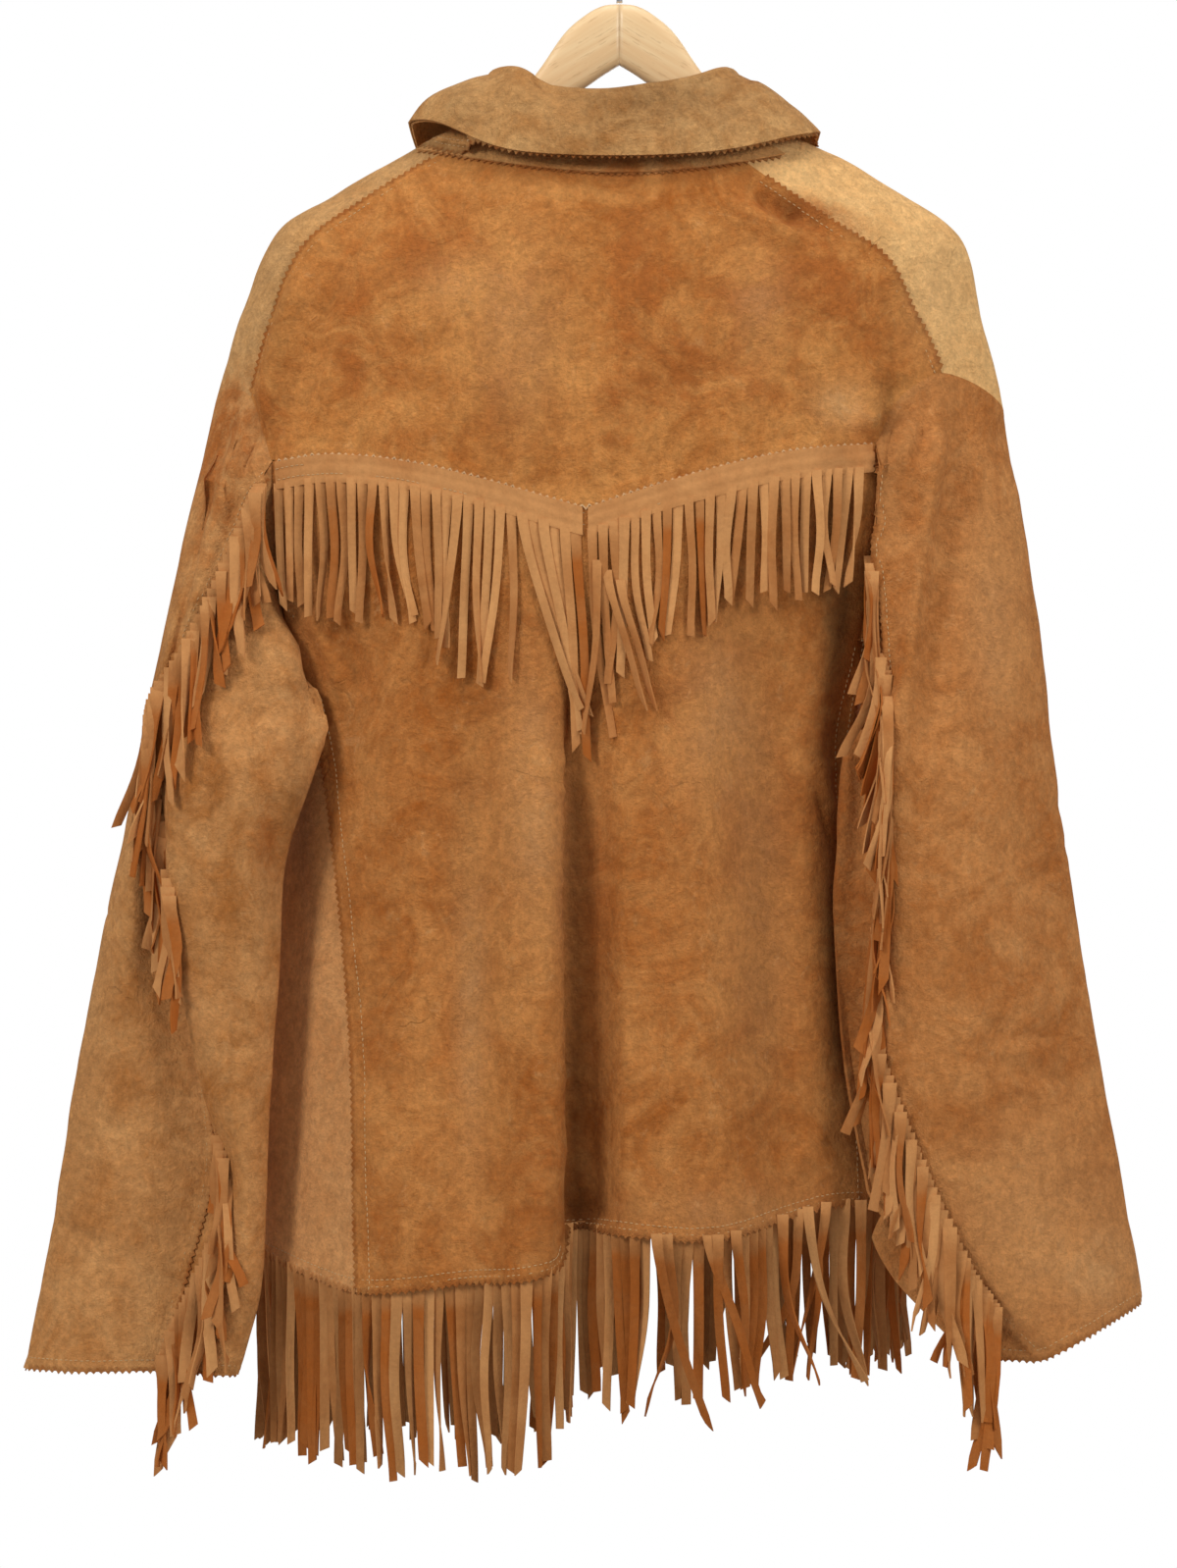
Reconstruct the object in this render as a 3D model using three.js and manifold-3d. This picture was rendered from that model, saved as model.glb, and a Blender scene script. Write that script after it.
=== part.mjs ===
// A fringed buckskin jacket hanging on a wooden hanger, seen first from its back.
// Millimetres, +Z up, -Y out of the garment's back, +X to the wearer's right.
// The origin is where a rod bears under the top of the hanger's hook.
//
// The garment is three tubes that share their seams: a yoke that widens from the neck to the
// armholes, a body that hangs from it, and two sleeves. Every panel is a stretch of one tube,
// cut as a wall of leather, and neighbours are sampled at the same points along their seam.

import * as THREE from 'three';
import Module from 'manifold-3d';

// ---------------------------------------------------------------- sizes
const LEATHER = 1.6; // wall of the buckskin
const SEAM_GAP = 0.4; // between two panels at a seam
const LAID_GAP = 0.5; // between a panel and what lies on it
const FRONT_GAP = 0.012; // half the front opening, as a share of the ring
const HEM_FRINGE = { left: 112, right: 99 }; // strand length below the hem
const YOKE_FRINGE = { side: 92, centre: 138 }; // strand length below the yoke seam
const FRONT_FRINGE = 95;
const BODY_CLEARANCE = 10; // between the body's surface and the sleeves' over the ribs

// Places on the ring of the body: the back corners of the armholes, the tops of the side seams
// and the front corners of the armholes.
const BACK_CORNER = 0.36;
const SIDE_SEAM = 0.43;
const FRONT_CORNER = 0.64;

// The yoke tube: one row for each level, from the neck seam (v 0) to the yoke seam (v 1).
const yokeRows = [
  { v: 0.0, left: -85, right: 81, back: -42, front: 58, zSide: -143, zBack: -175, zFront: -221 },
  { v: 0.13, left: -121, right: 120, back: -57, front: 66, zSide: -164, zBack: -200, zFront: -250 },
  { v: 0.34, left: -170, right: 168, back: -66, front: 72, zSide: -191, zBack: -237, zFront: -284 },
  { v: 0.56, left: -212, right: 211, back: -72, front: 77, zSide: -221, zBack: -280, zFront: -314 },
  { v: 0.8, left: -234, right: 225, back: -77, front: 81, zSide: -273, zBack: -338, zFront: -342 },
  { v: 1.0, left: -248, right: 237, back: -80, front: 84, zSide: -322, zBack: -392, zFront: -362 },
];

// The yoke's lower edge, all round: front seam, armhole, back seam with its point, and so on.
const yokeEdge = [
  [
    { s: -1.0, x: -6, y: 84, z: -362 },
    { s: -0.85, x: -91, y: 78, z: -358 },
    { s: -0.69, x: -206, y: 46, z: -353 },
  ],
  [
    { s: -0.69, x: -206, y: 46, z: -353 },
    { s: -0.63, x: -224, y: 28, z: -331 },
    { s: -0.5, x: -248, y: 0, z: -319 },
    { s: -0.37, x: -226, y: -28, z: -322 },
    { s: -0.31, x: -213, y: -42, z: -362 },
  ],
  [
    { s: -0.31, x: -213, y: -42, z: -362 },
    { s: -0.25, x: -175, y: -55, z: -358 },
    { s: -0.15, x: -115, y: -70, z: -366 },
    { s: 0.0, x: -21, y: -80, z: -392 },
  ],
  [
    { s: 0.0, x: -21, y: -80, z: -392 },
    { s: 0.1, x: 41, y: -76, z: -372 },
    { s: 0.17, x: 101, y: -66, z: -357 },
    { s: 0.25, x: 157, y: -48, z: -351 },
  ],
  [
    { s: 0.25, x: 157, y: -48, z: -351 },
    { s: 0.28, x: 171, y: -42, z: -323 },
    { s: 0.315, x: 197, y: -32, z: -307 },
    { s: 0.5, x: 237, y: 0, z: -328 },
    { s: 0.63, x: 210, y: 28, z: -342 },
    { s: 0.69, x: 178, y: 46, z: -353 },
  ],
  [
    { s: 0.69, x: 178, y: 46, z: -353 },
    { s: 0.85, x: 83, y: 78, z: -358 },
    { s: 1.0, x: 6, y: 84, z: -362 },
  ],
];

// The shoulder seams, where the back yoke laps the front yokes: ring place by level.
const shoulderSeam = {
  left: [{ v: 0, s: -0.37 }, { v: 1, s: -0.37 }],
  right: [{ v: 0, s: 0.24 }, { v: 0.35, s: 0.272 }, { v: 1, s: 0.315 }],
};

// Under each arm: from the back corner of the armhole down to the armpit and up to the front.
const underarm = {
  left: [
    { s: -0.36, x: -213, y: -42, z: -362 },
    { s: -0.43, x: -203, y: -20, z: -418 },
    { s: -0.5, x: -201, y: 12, z: -462 },
    { s: -0.57, x: -203, y: 34, z: -420 },
    { s: -0.64, x: -206, y: 46, z: -353 },
  ],
  right: [
    { s: 0.36, x: 157, y: -48, z: -351 },
    { s: 0.43, x: 151, y: -24, z: -414 },
    { s: 0.5, x: 150, y: 12, z: -462 },
    { s: 0.57, x: 158, y: 34, z: -420 },
    { s: 0.64, x: 178, y: 46, z: -353 },
  ],
};

// The body tube: one row for each level, from the yoke seam (v 0) to the hem (v 1).
const bodyRows = [
  { v: 0.0, left: -205, right: 150, middle: 24, back: 104, front: 60 },
  { v: 0.25, left: -205, right: 152, middle: 26, back: 108, front: 58 },
  { v: 0.5, left: -210, right: 159, middle: 26, back: 116, front: 56 },
  { v: 0.75, left: -217, right: 168, middle: 25, back: 122, front: 54 },
  { v: 1.0, left: -222, right: 176, middle: 25, back: 126, front: 52 },
];

// The hem's height round the ring.
const hemRows = [
  { s: -1.0, z: -838 },
  { s: -0.7, z: -842 },
  { s: -0.4, z: -853 },
  { s: -0.224, z: -867 },
  { s: -0.12, z: -861 },
  { s: -0.03, z: -851 },
  { s: 0.0, z: -827 },
  { s: 0.03, z: -830 },
  { s: 0.12, z: -834 },
  { s: 0.22, z: -824 },
  { s: 0.31, z: -817 },
  { s: 0.5, z: -830 },
  { s: 1.0, z: -838 },
];

// The side seams, where the lower back laps the fronts: ring place by level.
const sideSeam = {
  left: [{ v: 0, s: -0.43 }, { v: 0.35, s: -0.33 }, { v: 0.7, s: -0.25 }, { v: 1, s: -0.224 }],
  right: [{ v: 0, s: 0.43 }, { v: 0.4, s: 0.37 }, { v: 1, s: 0.345 }],
};

// Folds of the body that run down it: place and half width on the ring, and depth from the yoke
// seam to the hem. A positive depth stands out, and a negative one goes in.
const bodyFolds = [
  { name: 'pleat', s: 0.0, width: 0.026, top: 0, middle: -14, hem: -26 },
  { name: 'left lobe edge', s: -0.05, width: 0.035, top: 0, middle: 6, hem: 9 },
  { name: 'left lobe hollow', s: -0.12, width: 0.04, top: -2, middle: -6, hem: -5 },
  { name: 'left lobe', s: -0.2, width: 0.06, top: 2, middle: 6, hem: 12 },
  { name: 'right lobe', s: 0.1, width: 0.07, top: 3, middle: 8, hem: 10 },
  { name: 'right hollow', s: 0.24, width: 0.06, top: -3, middle: -12, hem: -8 },
  { name: 'front left drape', s: -0.78, width: 0.08, top: 0, middle: 4, hem: 8 },
  { name: 'front right drape', s: 0.78, width: 0.08, top: 0, middle: 4, hem: 8 },
];

// The sleeves: one row for each section, from the armhole (v 0) to the cuff (v 1). The columns
// are the places across the section, from the outer edge over the back and round the inner edge,
// and depth is how far the section stands out to the back.
const table = (columns, rows) =>
  rows.map((row) => Object.fromEntries(columns.split(' ').map((name, i) => [name, row[i]])));
const SLEEVE_COLUMNS = 'v z outer back ridge seam fold crest inner depth tilt';
const sleeveRows = {
  left: table(SLEEVE_COLUMNS, [
    [0.0, -416, -265, -256, -244, -232, -222, -208, -196, 52, 0],
    [0.1, -464, -278, -268, -260, -254, -238, -211, -186, 70, 0],
    [0.17, -500, -285, -279, -275, -272, -252, -222, -178, 76, 0],
    [0.25, -542, -295, -289, -284, -281, -267, -229, -185, 76, 0],
    [0.35, -596, -306, -296, -286, -278, -273, -236, -203, 72, 0],
    [0.47, -659, -320, -301, -282, -268, -271, -240, -209, 66, 0],
    [0.62, -740, -335, -302, -271, -253, -256, -235, -214, 60, 0],
    [0.74, -800, -344, -307, -271, -249, -240, -228, -216, 56, 0],
    [0.86, -860, -356, -319, -286, -265, -248, -232, -220, 50, 0],
    [1.0, -921, -368, -334, -301, -280, -260, -245, -235, 44, 0],
  ]),
  right: table(SLEEVE_COLUMNS, [
    [0.0, -416, 252, 221, 187, 160, 153, 146, 138, 56, 0],
    [0.1, -464, 259, 222, 182, 158, 152, 145, 138, 62, 0],
    [0.17, -500, 263, 222, 176, 162, 156, 148, 139, 66, 0],
    [0.25, -542, 268, 222, 171, 163, 156, 147, 138, 68, 0],
    [0.35, -596, 275, 223, 167, 161, 154, 144, 134, 70, 0],
    [0.47, -659, 284, 228, 169, 157, 151, 141, 131, 70, 0],
    [0.62, -728, 295, 234, 171, 155, 150, 142, 134, 68, 0],
    [0.74, -792, 306, 246, 188, 172, 164, 154, 145, 64, 0.05],
    [0.86, -852, 314, 264, 216, 200, 188, 175, 163, 58, 0.2],
    [1.0, -912, 322, 292, 269, 257, 243, 228, 216, 50, 0.5],
  ]),
};

// How far out to the back each place of a sleeve section stands, as a share of its depth.
const sleeveStance = {
  left: {
    outer: 0.1,
    back: 0.56,
    ridge: 0.46,
    seam: 0.5,
    fold: 0.78,
    crest: 1.0,
    inner: 0.84,
    frontInner: 0.16,
    frontOuter: -0.12,
  },
  right: {
    outer: 0.1,
    back: 0.82,
    ridge: 1.0,
    seam: 0.84,
    fold: 0.78,
    crest: 0.74,
    inner: 0.7,
    frontInner: 0.22,
    frontOuter: -0.12,
  },
};
const SLEEVE_KEYS = Object.keys(sleeveStance.left);
const SEAM_AT = 3 / SLEEVE_KEYS.length; // the fringed seam down the back of the sleeve
const FRONT_SEAM_AT = 8 / SLEEVE_KEYS.length; // the plain seam down its front
const ARMHOLE_FADE = 0.3; // the stretch of sleeve over which the armhole's shape dies away

// The collar: its fold along the top and its pinked edge lying on the shoulders.
const collarFold = {
  left: -76,
  right: 68,
  back: -47,
  front: 60,
  zSide: -121,
  zBack: -131,
  zFront: -205,
};
const collarEdge = {
  left: -128,
  right: 122,
  back: -61,
  front: 88,
  zSide: -160,
  zBack: -177,
  zFront: -262,
};
const COLLAR_END = 0.93; // the collar stops short of the front edges
const NECK_BAND = { from: -0.44, join: -0.03, to: 0.335, top: 0.01, middle: 0.065, spread: 0.45 };

// Where the sleeve fringe hangs: a row for each level, with its edges and how far out it lies.
const sleeveFringeRows = {
  fringe_sleeve_left_top: [
    { z: -378, left: -225, right: -212, y: -62 },
    { z: -420, left: -246, right: -212, y: -70 },
    { z: -464, left: -268, right: -216, y: -76 },
    { z: -524, left: -294, right: -232, y: -79 },
    { z: -580, left: -304, right: -250, y: -79 },
    { z: -650, left: -302, right: -266, y: -77 },
    { z: -707, left: -282, right: -268, y: -74 },
  ],
  fringe_sleeve_left_cuff: [
    { z: -790, left: -252, right: -243, y: -68 },
    { z: -830, left: -262, right: -234, y: -66 },
    { z: -890, left: -272, right: -230, y: -60 },
    { z: -930, left: -277, right: -238, y: -57 },
    { z: -992, left: -278, right: -270, y: -55 },
  ],
  fringe_sleeve_right: [
    { z: -470, left: 150, right: 157, y: -76 },
    { z: -530, left: 130, right: 163, y: -79 },
    { z: -600, left: 134, right: 168, y: -82 },
    { z: -680, left: 138, right: 166, y: -82 },
    { z: -760, left: 138, right: 168, y: -79 },
    { z: -830, left: 150, right: 196, y: -74 },
    { z: -880, left: 162, right: 226, y: -70 },
    { z: -920, left: 164, right: 230, y: -66 },
    { z: -978, left: 221, right: 230, y: -62 },
  ],
};

// The hanger: half an arm, a row for each section out from the mitred joint at its middle.
const hangerRows = [
  { x: 0.2, top: -76, bottom: -114, depth: 15 },
  { x: 10, top: -77, bottom: -120, depth: 15 },
  { x: 20, top: -82, bottom: -127, depth: 15 },
  { x: 34, top: -94, bottom: -136, depth: 15 },
  { x: 50, top: -117, bottom: -147, depth: 15 },
  { x: 68, top: -139, bottom: -158, depth: 15 },
  { x: 90, top: -156, bottom: -175, depth: 15 },
  { x: 121, top: -173, bottom: -194, depth: 16 },
  { x: 165, top: -197, bottom: -219, depth: 17 },
  { x: 196, top: -217, bottom: -236, depth: 17 },
  { x: 203, top: -223, bottom: -236, depth: 13 },
];
const HOOK_WIRE = 2; // radius of the hook's wire
const HOOK_RADIUS = 20; // inside radius of the hook

// ---------------------------------------------------------------- colours
const suede = (hex) => new THREE.MeshStandardMaterial({ color: hex, roughness: 0.92, metalness: 0 });
const leathers = {
  yoke: suede(0xb8793a),
  back: suede(0xb07a42),
  front: suede(0xb8905f),
  sleeve: suede(0xb07c46),
  collar: suede(0xb58a50),
  band: suede(0xb5854f),
  fringe: suede(0xab8152),
};
const beech = new THREE.MeshStandardMaterial({ color: 0xe0b27c, roughness: 0.45, metalness: 0 });
const steel = new THREE.MeshStandardMaterial({ color: 0xc8c8cc, roughness: 0.25, metalness: 1 });

// ---------------------------------------------------------------- curves
const mix = (a, b, t) => a + (b - a) * t;
const clamp = (t) => Math.min(1, Math.max(0, t));
const ease = (t) => clamp(t) ** 2 * (3 - 2 * clamp(t));
const spread = (from, to, steps) =>
  Array.from({ length: steps + 1 }, (_, i) => mix(from, to, i / steps));

/** A smooth value of one column of a table at a place along its key column. */
function along(rows, key, at, column) {
  const last = rows.length - 1;
  const place = Math.min(rows[last][key], Math.max(rows[0][key], at));
  let i = 0;
  while (i < last - 1 && place > rows[i + 1][key]) i += 1;
  const span = rows[i + 1][key] - rows[i][key];
  const slope = (k) => {
    const before = rows[Math.max(0, k - 1)];
    const after = rows[Math.min(last, k + 1)];
    return (after[column] - before[column]) / (after[key] - before[key]);
  };
  const t = (place - rows[i][key]) / span;
  const [t2, t3] = [t * t, t * t * t];
  return (
    (2 * t3 - 3 * t2 + 1) * rows[i][column] +
    (t3 - 2 * t2 + t) * span * slope(i) +
    (3 * t2 - 2 * t3) * rows[i + 1][column] +
    (t3 - t2) * span * slope(i + 1)
  );
}

const pointAlong = (rows, key, at) =>
  new THREE.Vector3(...['x', 'y', 'z'].map((c) => along(rows, key, at, c)));

/** A point of a closed ring whose sides, back and front are given: s -0.5 is its left, 0 its back. */
function ringPoint(ring, s) {
  const [sine, cosine] = [Math.sin(Math.PI * s), Math.cos(Math.PI * s)];
  const [far, zFar] = cosine > 0 ? [ring.back, ring.zBack] : [ring.front, ring.zFront];
  return new THREE.Vector3(
    mix(ring.left, ring.right, (1 + sine) / 2),
    far * Math.abs(cosine),
    mix(ring.zSide, zFar, Math.abs(cosine) ** 1.5),
  );
}

const yokeEdgePoint = (s) => {
  const stretch = yokeEdge.find((rows) => s <= rows.at(-1).s) ?? yokeEdge.at(-1);
  return pointAlong(stretch, 's', s);
};

function yokePoint(s, v) {
  const columns = ['left', 'right', 'back', 'front', 'zSide', 'zBack', 'zFront'];
  const level = (at) => Object.fromEntries(columns.map((c) => [c, along(yokeRows, 'v', at, c)]));
  const stray = yokeEdgePoint(s).sub(ringPoint(level(1), s));
  return ringPoint(level(v), s).addScaledVector(stray, ease(v) * v);
}

/** The place on the yoke's ring that meets a place on the body's ring. */
function bodyToYoke(s) {
  const corner = s < 0 ? 0.31 : 0.25;
  const size = Math.abs(s);
  const place =
    size <= BACK_CORNER
      ? size * (corner / BACK_CORNER)
      : mix(0.69, 1, (size - FRONT_CORNER) / (1 - FRONT_CORNER));
  return Math.sign(s) * place;
}

const sideOf = (s) => (s < 0 ? 'left' : 'right');

function bodyTop(s) {
  const size = Math.abs(s);
  if (size > BACK_CORNER && size < FRONT_CORNER) {
    const rows = [...underarm[sideOf(s)]].sort((a, b) => a.s - b.s);
    return pointAlong(rows, 's', s);
  }
  return yokeEdgePoint(bodyToYoke(s));
}

/** How far the body's folds stand out at a place. */
function foldDepth(s, v) {
  return bodyFolds.reduce((total, fold) => {
    const off = (s - fold.s) / fold.width;
    const depth =
      v < 0.5
        ? mix(fold.top, fold.middle, ease(v * 2))
        : mix(fold.middle, fold.hem, ease(v * 2 - 1));
    return total + depth * Math.exp(-off * off);
  }, 0);
}

function bodyRing(s, v) {
  const at = (column) => along(bodyRows, 'v', v, column);
  const [sine, cosine] = [Math.sin(Math.PI * s), Math.cos(Math.PI * s)];
  const depth = cosine > 0 ? at('back') : at('front');
  const stand = foldDepth(s, v) * ease(v * 4);
  return new THREE.Vector3(
    mix(at('left'), at('right'), (1 + sine) / 2) + stand * sine,
    at('middle') - (depth + stand) * cosine,
    0,
  );
}

function bodyPoint(s, v) {
  const top = bodyTop(s);
  const fade = 1 - ease(v / 0.45);
  const stray = top.clone().sub(bodyRing(s, 0));
  const point = bodyRing(s, v).addScaledVector(stray, fade);
  point.z = mix(top.z, along(hemRows, 's', s, 'z'), v);
  return point;
}

/** The armhole: the yoke's edge over the shoulder, then the body's edge under the arm. */
function armhole(side, turn) {
  const sign = side === 'left' ? -1 : 1;
  const corner = side === 'left' ? 0.31 : 0.25;
  if (turn <= SEAM_AT) return yokeEdgePoint(sign * mix(0.5, corner, turn / SEAM_AT));
  if (turn >= FRONT_SEAM_AT) {
    return yokeEdgePoint(sign * mix(0.69, 0.5, (turn - FRONT_SEAM_AT) / (1 - FRONT_SEAM_AT)));
  }
  const under = (turn - SEAM_AT) / (FRONT_SEAM_AT - SEAM_AT);
  return bodyTop(sign * mix(BACK_CORNER + 1e-6, FRONT_CORNER - 1e-6, under));
}

/** A section of a sleeve: a smooth closed curve through its named places. */
function sleeveSection(side, v) {
  const rows = sleeveRows[side];
  const at = (column) => along(rows, 'v', v, column);
  const width = at('inner') - at('outer');
  const across = { frontInner: at('inner') - width * 0.32, frontOuter: at('outer') + width * 0.3 };
  const points = SLEEVE_KEYS.map((name) => {
    const x = across[name] ?? at(name);
    const outside = Math.max(0, Math.abs(x) - Math.abs(at('seam')));
    const out = at('depth') * sleeveStance[side][name];
    return new THREE.Vector3(x, -out, at('z') + at('tilt') * outside);
  });
  return new THREE.CatmullRomCurve3(points, true, 'centripetal');
}

const sections = new Map();
function sleevePoint(side, turn, v) {
  const name = `${side} ${v.toFixed(5)}`;
  if (!sections.has(name)) sections.set(name, sleeveSection(side, v));
  if (!sections.has(side)) sections.set(side, sleeveSection(side, 0));
  const round = ((turn % 1) + 1) % 1;
  const stray = armhole(side, round).sub(sections.get(side).getPoint(round));
  const point = sections.get(name).getPoint(round).addScaledVector(stray, 1 - ease(v / ARMHOLE_FADE));
  return v > 0 ? clearOfBody(point, side) : point;
}

/** The body's point at a place on its ring and a height, where it has a wall there. */
function bodyAtHeight(s, z) {
  const [top, hem] = [bodyTop(s).z, along(hemRows, 's', s, 'z')];
  const v = (top - z) / (top - hem);
  return v >= 0 && v <= 1 ? bodyPoint(s, v) : null;
}

/** A point of a sleeve, moved out from the body until it stands clear of its wall. */
function clearOfBody(point, side) {
  const sign = side === 'left' ? -1 : 1;
  const outline = spread(0.16, 0.8, 64).map((s) => bodyAtHeight(s * sign, point.z));
  let nearest = { distance: Infinity };
  for (let i = 0; i + 1 < outline.length; i += 1) {
    const [from, to] = [outline[i], outline[i + 1]];
    if (!from || !to) continue;
    const way = new THREE.Vector2(to.x - from.x, to.y - from.y);
    const off = new THREE.Vector2(point.x - from.x, point.y - from.y);
    const reached = clamp(off.dot(way) / way.lengthSq());
    const distance = off.sub(way.clone().multiplyScalar(reached)).length();
    const square = new THREE.Vector2(way.y, -way.x).normalize().multiplyScalar(sign);
    const outwards = square.y > 0 ? new THREE.Vector2(sign, 0) : square;
    if (distance < nearest.distance) nearest = { distance, outwards, gap: off.dot(outwards) };
  }
  const shift = BODY_CLEARANCE - (nearest.gap ?? BODY_CLEARANCE);
  if (shift <= 0) return point;
  return point.add(new THREE.Vector3(nearest.outwards.x * shift, nearest.outwards.y * shift, 0));
}

// ---------------------------------------------------------------- walls
/** The points of a surface over a grid of places, with the way it faces at each. */
function gridOf(surface, columns, rows, outward) {
  const points = rows.map((v) => columns.map((u) => surface(u, v)));
  const [lastRow, lastColumn] = [rows.length - 1, columns.length - 1];
  return points.map((row, r) =>
    row.map((point, c) => {
      const across = row[Math.min(lastColumn, c + 1)].clone().sub(row[Math.max(0, c - 1)]);
      const down = points[Math.min(lastRow, r + 1)][c].clone().sub(points[Math.max(0, r - 1)][c]);
      return { point, facing: across.cross(down).normalize().multiplyScalar(outward) };
    }),
  );
}

/** Panels that meet share one facing at each point that they have in common. */
function shareFacings(grids) {
  const rim = grids.flatMap((grid) =>
    grid.flatMap((row, r) => {
      const whole = r === 0 || r === grid.length - 1;
      return row.filter((_, c) => whole || c === 0 || c === row.length - 1);
    }),
  );
  const shared = rim.map(({ point }) =>
    rim
      .filter((other) => other.point.distanceTo(point) < 0.05)
      .reduce((sum, { facing }) => sum.add(facing), new THREE.Vector3())
      .normalize(),
  );
  rim.forEach((cell, i) => (cell.facing = shared[i]));
}

/** A closed solid between two sheets of points, with one triangle pair for each cell. */
function solidBetween(outer, inner) {
  const [rows, columns] = [outer.length, outer[0].length];
  const positions = [...outer.flat(), ...inner.flat()].flatMap((p) => p.toArray());
  const at = (sheet, r, c) => sheet * rows * columns + r * columns + c;
  const index = [];
  const quad = (a, b, c, d) => index.push(a, b, c, a, c, d);
  for (let r = 0; r < rows - 1; r += 1) {
    for (let c = 0; c < columns - 1; c += 1) {
      quad(at(0, r, c), at(0, r, c + 1), at(0, r + 1, c + 1), at(0, r + 1, c));
      quad(at(1, r, c), at(1, r + 1, c), at(1, r + 1, c + 1), at(1, r, c + 1));
    }
  }
  for (let c = 0; c < columns - 1; c += 1) {
    quad(at(0, 0, c), at(1, 0, c), at(1, 0, c + 1), at(0, 0, c + 1));
    quad(at(0, rows - 1, c), at(0, rows - 1, c + 1), at(1, rows - 1, c + 1), at(1, rows - 1, c));
  }
  for (let r = 0; r < rows - 1; r += 1) {
    quad(at(0, r, 0), at(0, r + 1, 0), at(1, r + 1, 0), at(1, r, 0));
    const last = columns - 1;
    quad(at(0, r, last), at(1, r, last), at(1, r + 1, last), at(0, r + 1, last));
  }
  const geometry = new THREE.BufferGeometry();
  geometry.setAttribute('position', new THREE.Float32BufferAttribute(positions, 3));
  geometry.setIndex(volumeOf(geometry, index) < 0 ? index.toReversed() : index);
  return geometry;
}

function volumeOf(geometry, index) {
  const p = geometry.getAttribute('position');
  const corner = (i) => new THREE.Vector3().fromBufferAttribute(p, i);
  let volume = 0;
  for (let i = 0; i < index.length; i += 3) {
    volume += corner(index[i]).dot(corner(index[i + 1]).cross(corner(index[i + 2])));
  }
  return volume;
}

/** A leather wall on a grid: its inside lies on the grid, lifted, and its rim clears the seams. */
function wallOf(grid, lift = 0, thickness = LEATHER, seamGap = SEAM_GAP) {
  const [lastRow, lastColumn] = [grid.length - 1, grid[0].length - 1];
  const inset = (r, c) => {
    const inwardRow = r === 0 ? 1 : r === lastRow ? lastRow - 1 : r;
    const inwardColumn = c === 0 ? 1 : c === lastColumn ? lastColumn - 1 : c;
    const { point, facing } = grid[r][c];
    const move = new THREE.Vector3();
    for (const other of [grid[inwardRow][c].point, grid[r][inwardColumn].point]) {
      const way = other.clone().sub(point).projectOnPlane(facing);
      if (way.length() > 1e-6) move.addScaledVector(way.normalize(), seamGap / 2);
    }
    return move;
  };
  const moved = (cell, out, r, c) =>
    cell.point.clone().addScaledVector(cell.facing, out).add(inset(r, c));
  const sheet = (out) => grid.map((row, r) => row.map((cell, c) => moved(cell, out, r, c)));
  return solidBetween(sheet(lift + thickness), sheet(lift));
}

const wasm = await Module();
wasm.setup();

function toSolid(geometry) {
  return new wasm.Manifold(
    new wasm.Mesh({
      numProp: 3,
      vertProperties: geometry.getAttribute('position').array,
      triVerts: new Uint32Array(geometry.index.array),
    }),
  );
}

/** A wall less the room that its neighbours need, where all of them meet in one tight corner. */
function trimmed(geometry, neighbours) {
  const rooms = neighbours.map((grid) => toSolid(wallOf(grid, -SEAM_GAP, LEATHER + 2 * SEAM_GAP, 0)));
  const pieces = rooms.reduce((solid, room) => solid.subtract(room), toSolid(geometry)).decompose();
  const { vertProperties, triVerts } = pieces.sort((a, b) => b.volume() - a.volume())[0].getMesh();
  const result = new THREE.BufferGeometry();
  result.setAttribute('position', new THREE.BufferAttribute(vertProperties, 3));
  result.setIndex(new THREE.BufferAttribute(triVerts, 1));
  return result;
}

// ---------------------------------------------------------------- the pattern
const halfBack = [
  0.003, 0.012, 0.025, 0.035, 0.05, 0.08, 0.115, 0.15, 0.185, 0.22, 0.255, 0.29, 0.32, 0.345, 0.36,
];
const mirrored = (columns) => [...columns.toReversed().map((s) => -s), ...columns];
const UNDERARM_STEPS = 8;
const underarmColumns = spread(BACK_CORNER, FRONT_CORNER, UNDERARM_STEPS);
const backColumns = mirrored([...halfBack, ...underarmColumns.slice(1, 3)]);
const bodyLevels = [0, 0.06, 0.13, 0.22, 0.33, 0.45, 0.58, 0.7, 0.85, 1];
const yokeLevels = [0, 0.06, 0.13, 0.24, 0.36, 0.48, 0.6, 0.72, 0.86, 1];
const sleeveLevels = [0, 0.012, 0.045, 0.09, 0.15, 0.21, 0.28, 0.36, 0.46, 0.58, 0.7, 0.85, 1];

/** A place on the body's ring that keeps its share of the way to the side seam at every level. */
function followSideSeam(s, v) {
  const side = sideOf(s);
  const seam = Math.abs(along(sideSeam[side], 'v', v, 's'));
  const size = Math.abs(s);
  if (size <= 0.05) return s;
  if (size >= FRONT_CORNER) return s;
  const place =
    size <= SIDE_SEAM
      ? mix(0.05, seam, (size - 0.05) / (SIDE_SEAM - 0.05))
      : mix(seam, FRONT_CORNER, (size - SIDE_SEAM) / (FRONT_CORNER - SIDE_SEAM));
  return Math.sign(s) * place;
}

/** A place on the yoke's ring that keeps its share of the way to the shoulder seam at every level. */
function followShoulderSeam(s, v) {
  const rows = shoulderSeam[sideOf(s)];
  const [seam, low] = [Math.abs(along(rows, 'v', v, 's')), Math.abs(rows.at(-1).s)];
  const size = Math.abs(s);
  const place = size <= low ? (size * seam) / low : mix(seam, 1, (size - low) / (1 - low));
  return Math.sign(s) * place;
}

const bodySurface = (s, v) => bodyPoint(followSideSeam(s, v), v);
const yokeSurface = (s, v) => yokePoint(followShoulderSeam(s, v), v);
const sleeveSurface = (side) => (turn, v) => sleevePoint(side, turn, v);

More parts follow.
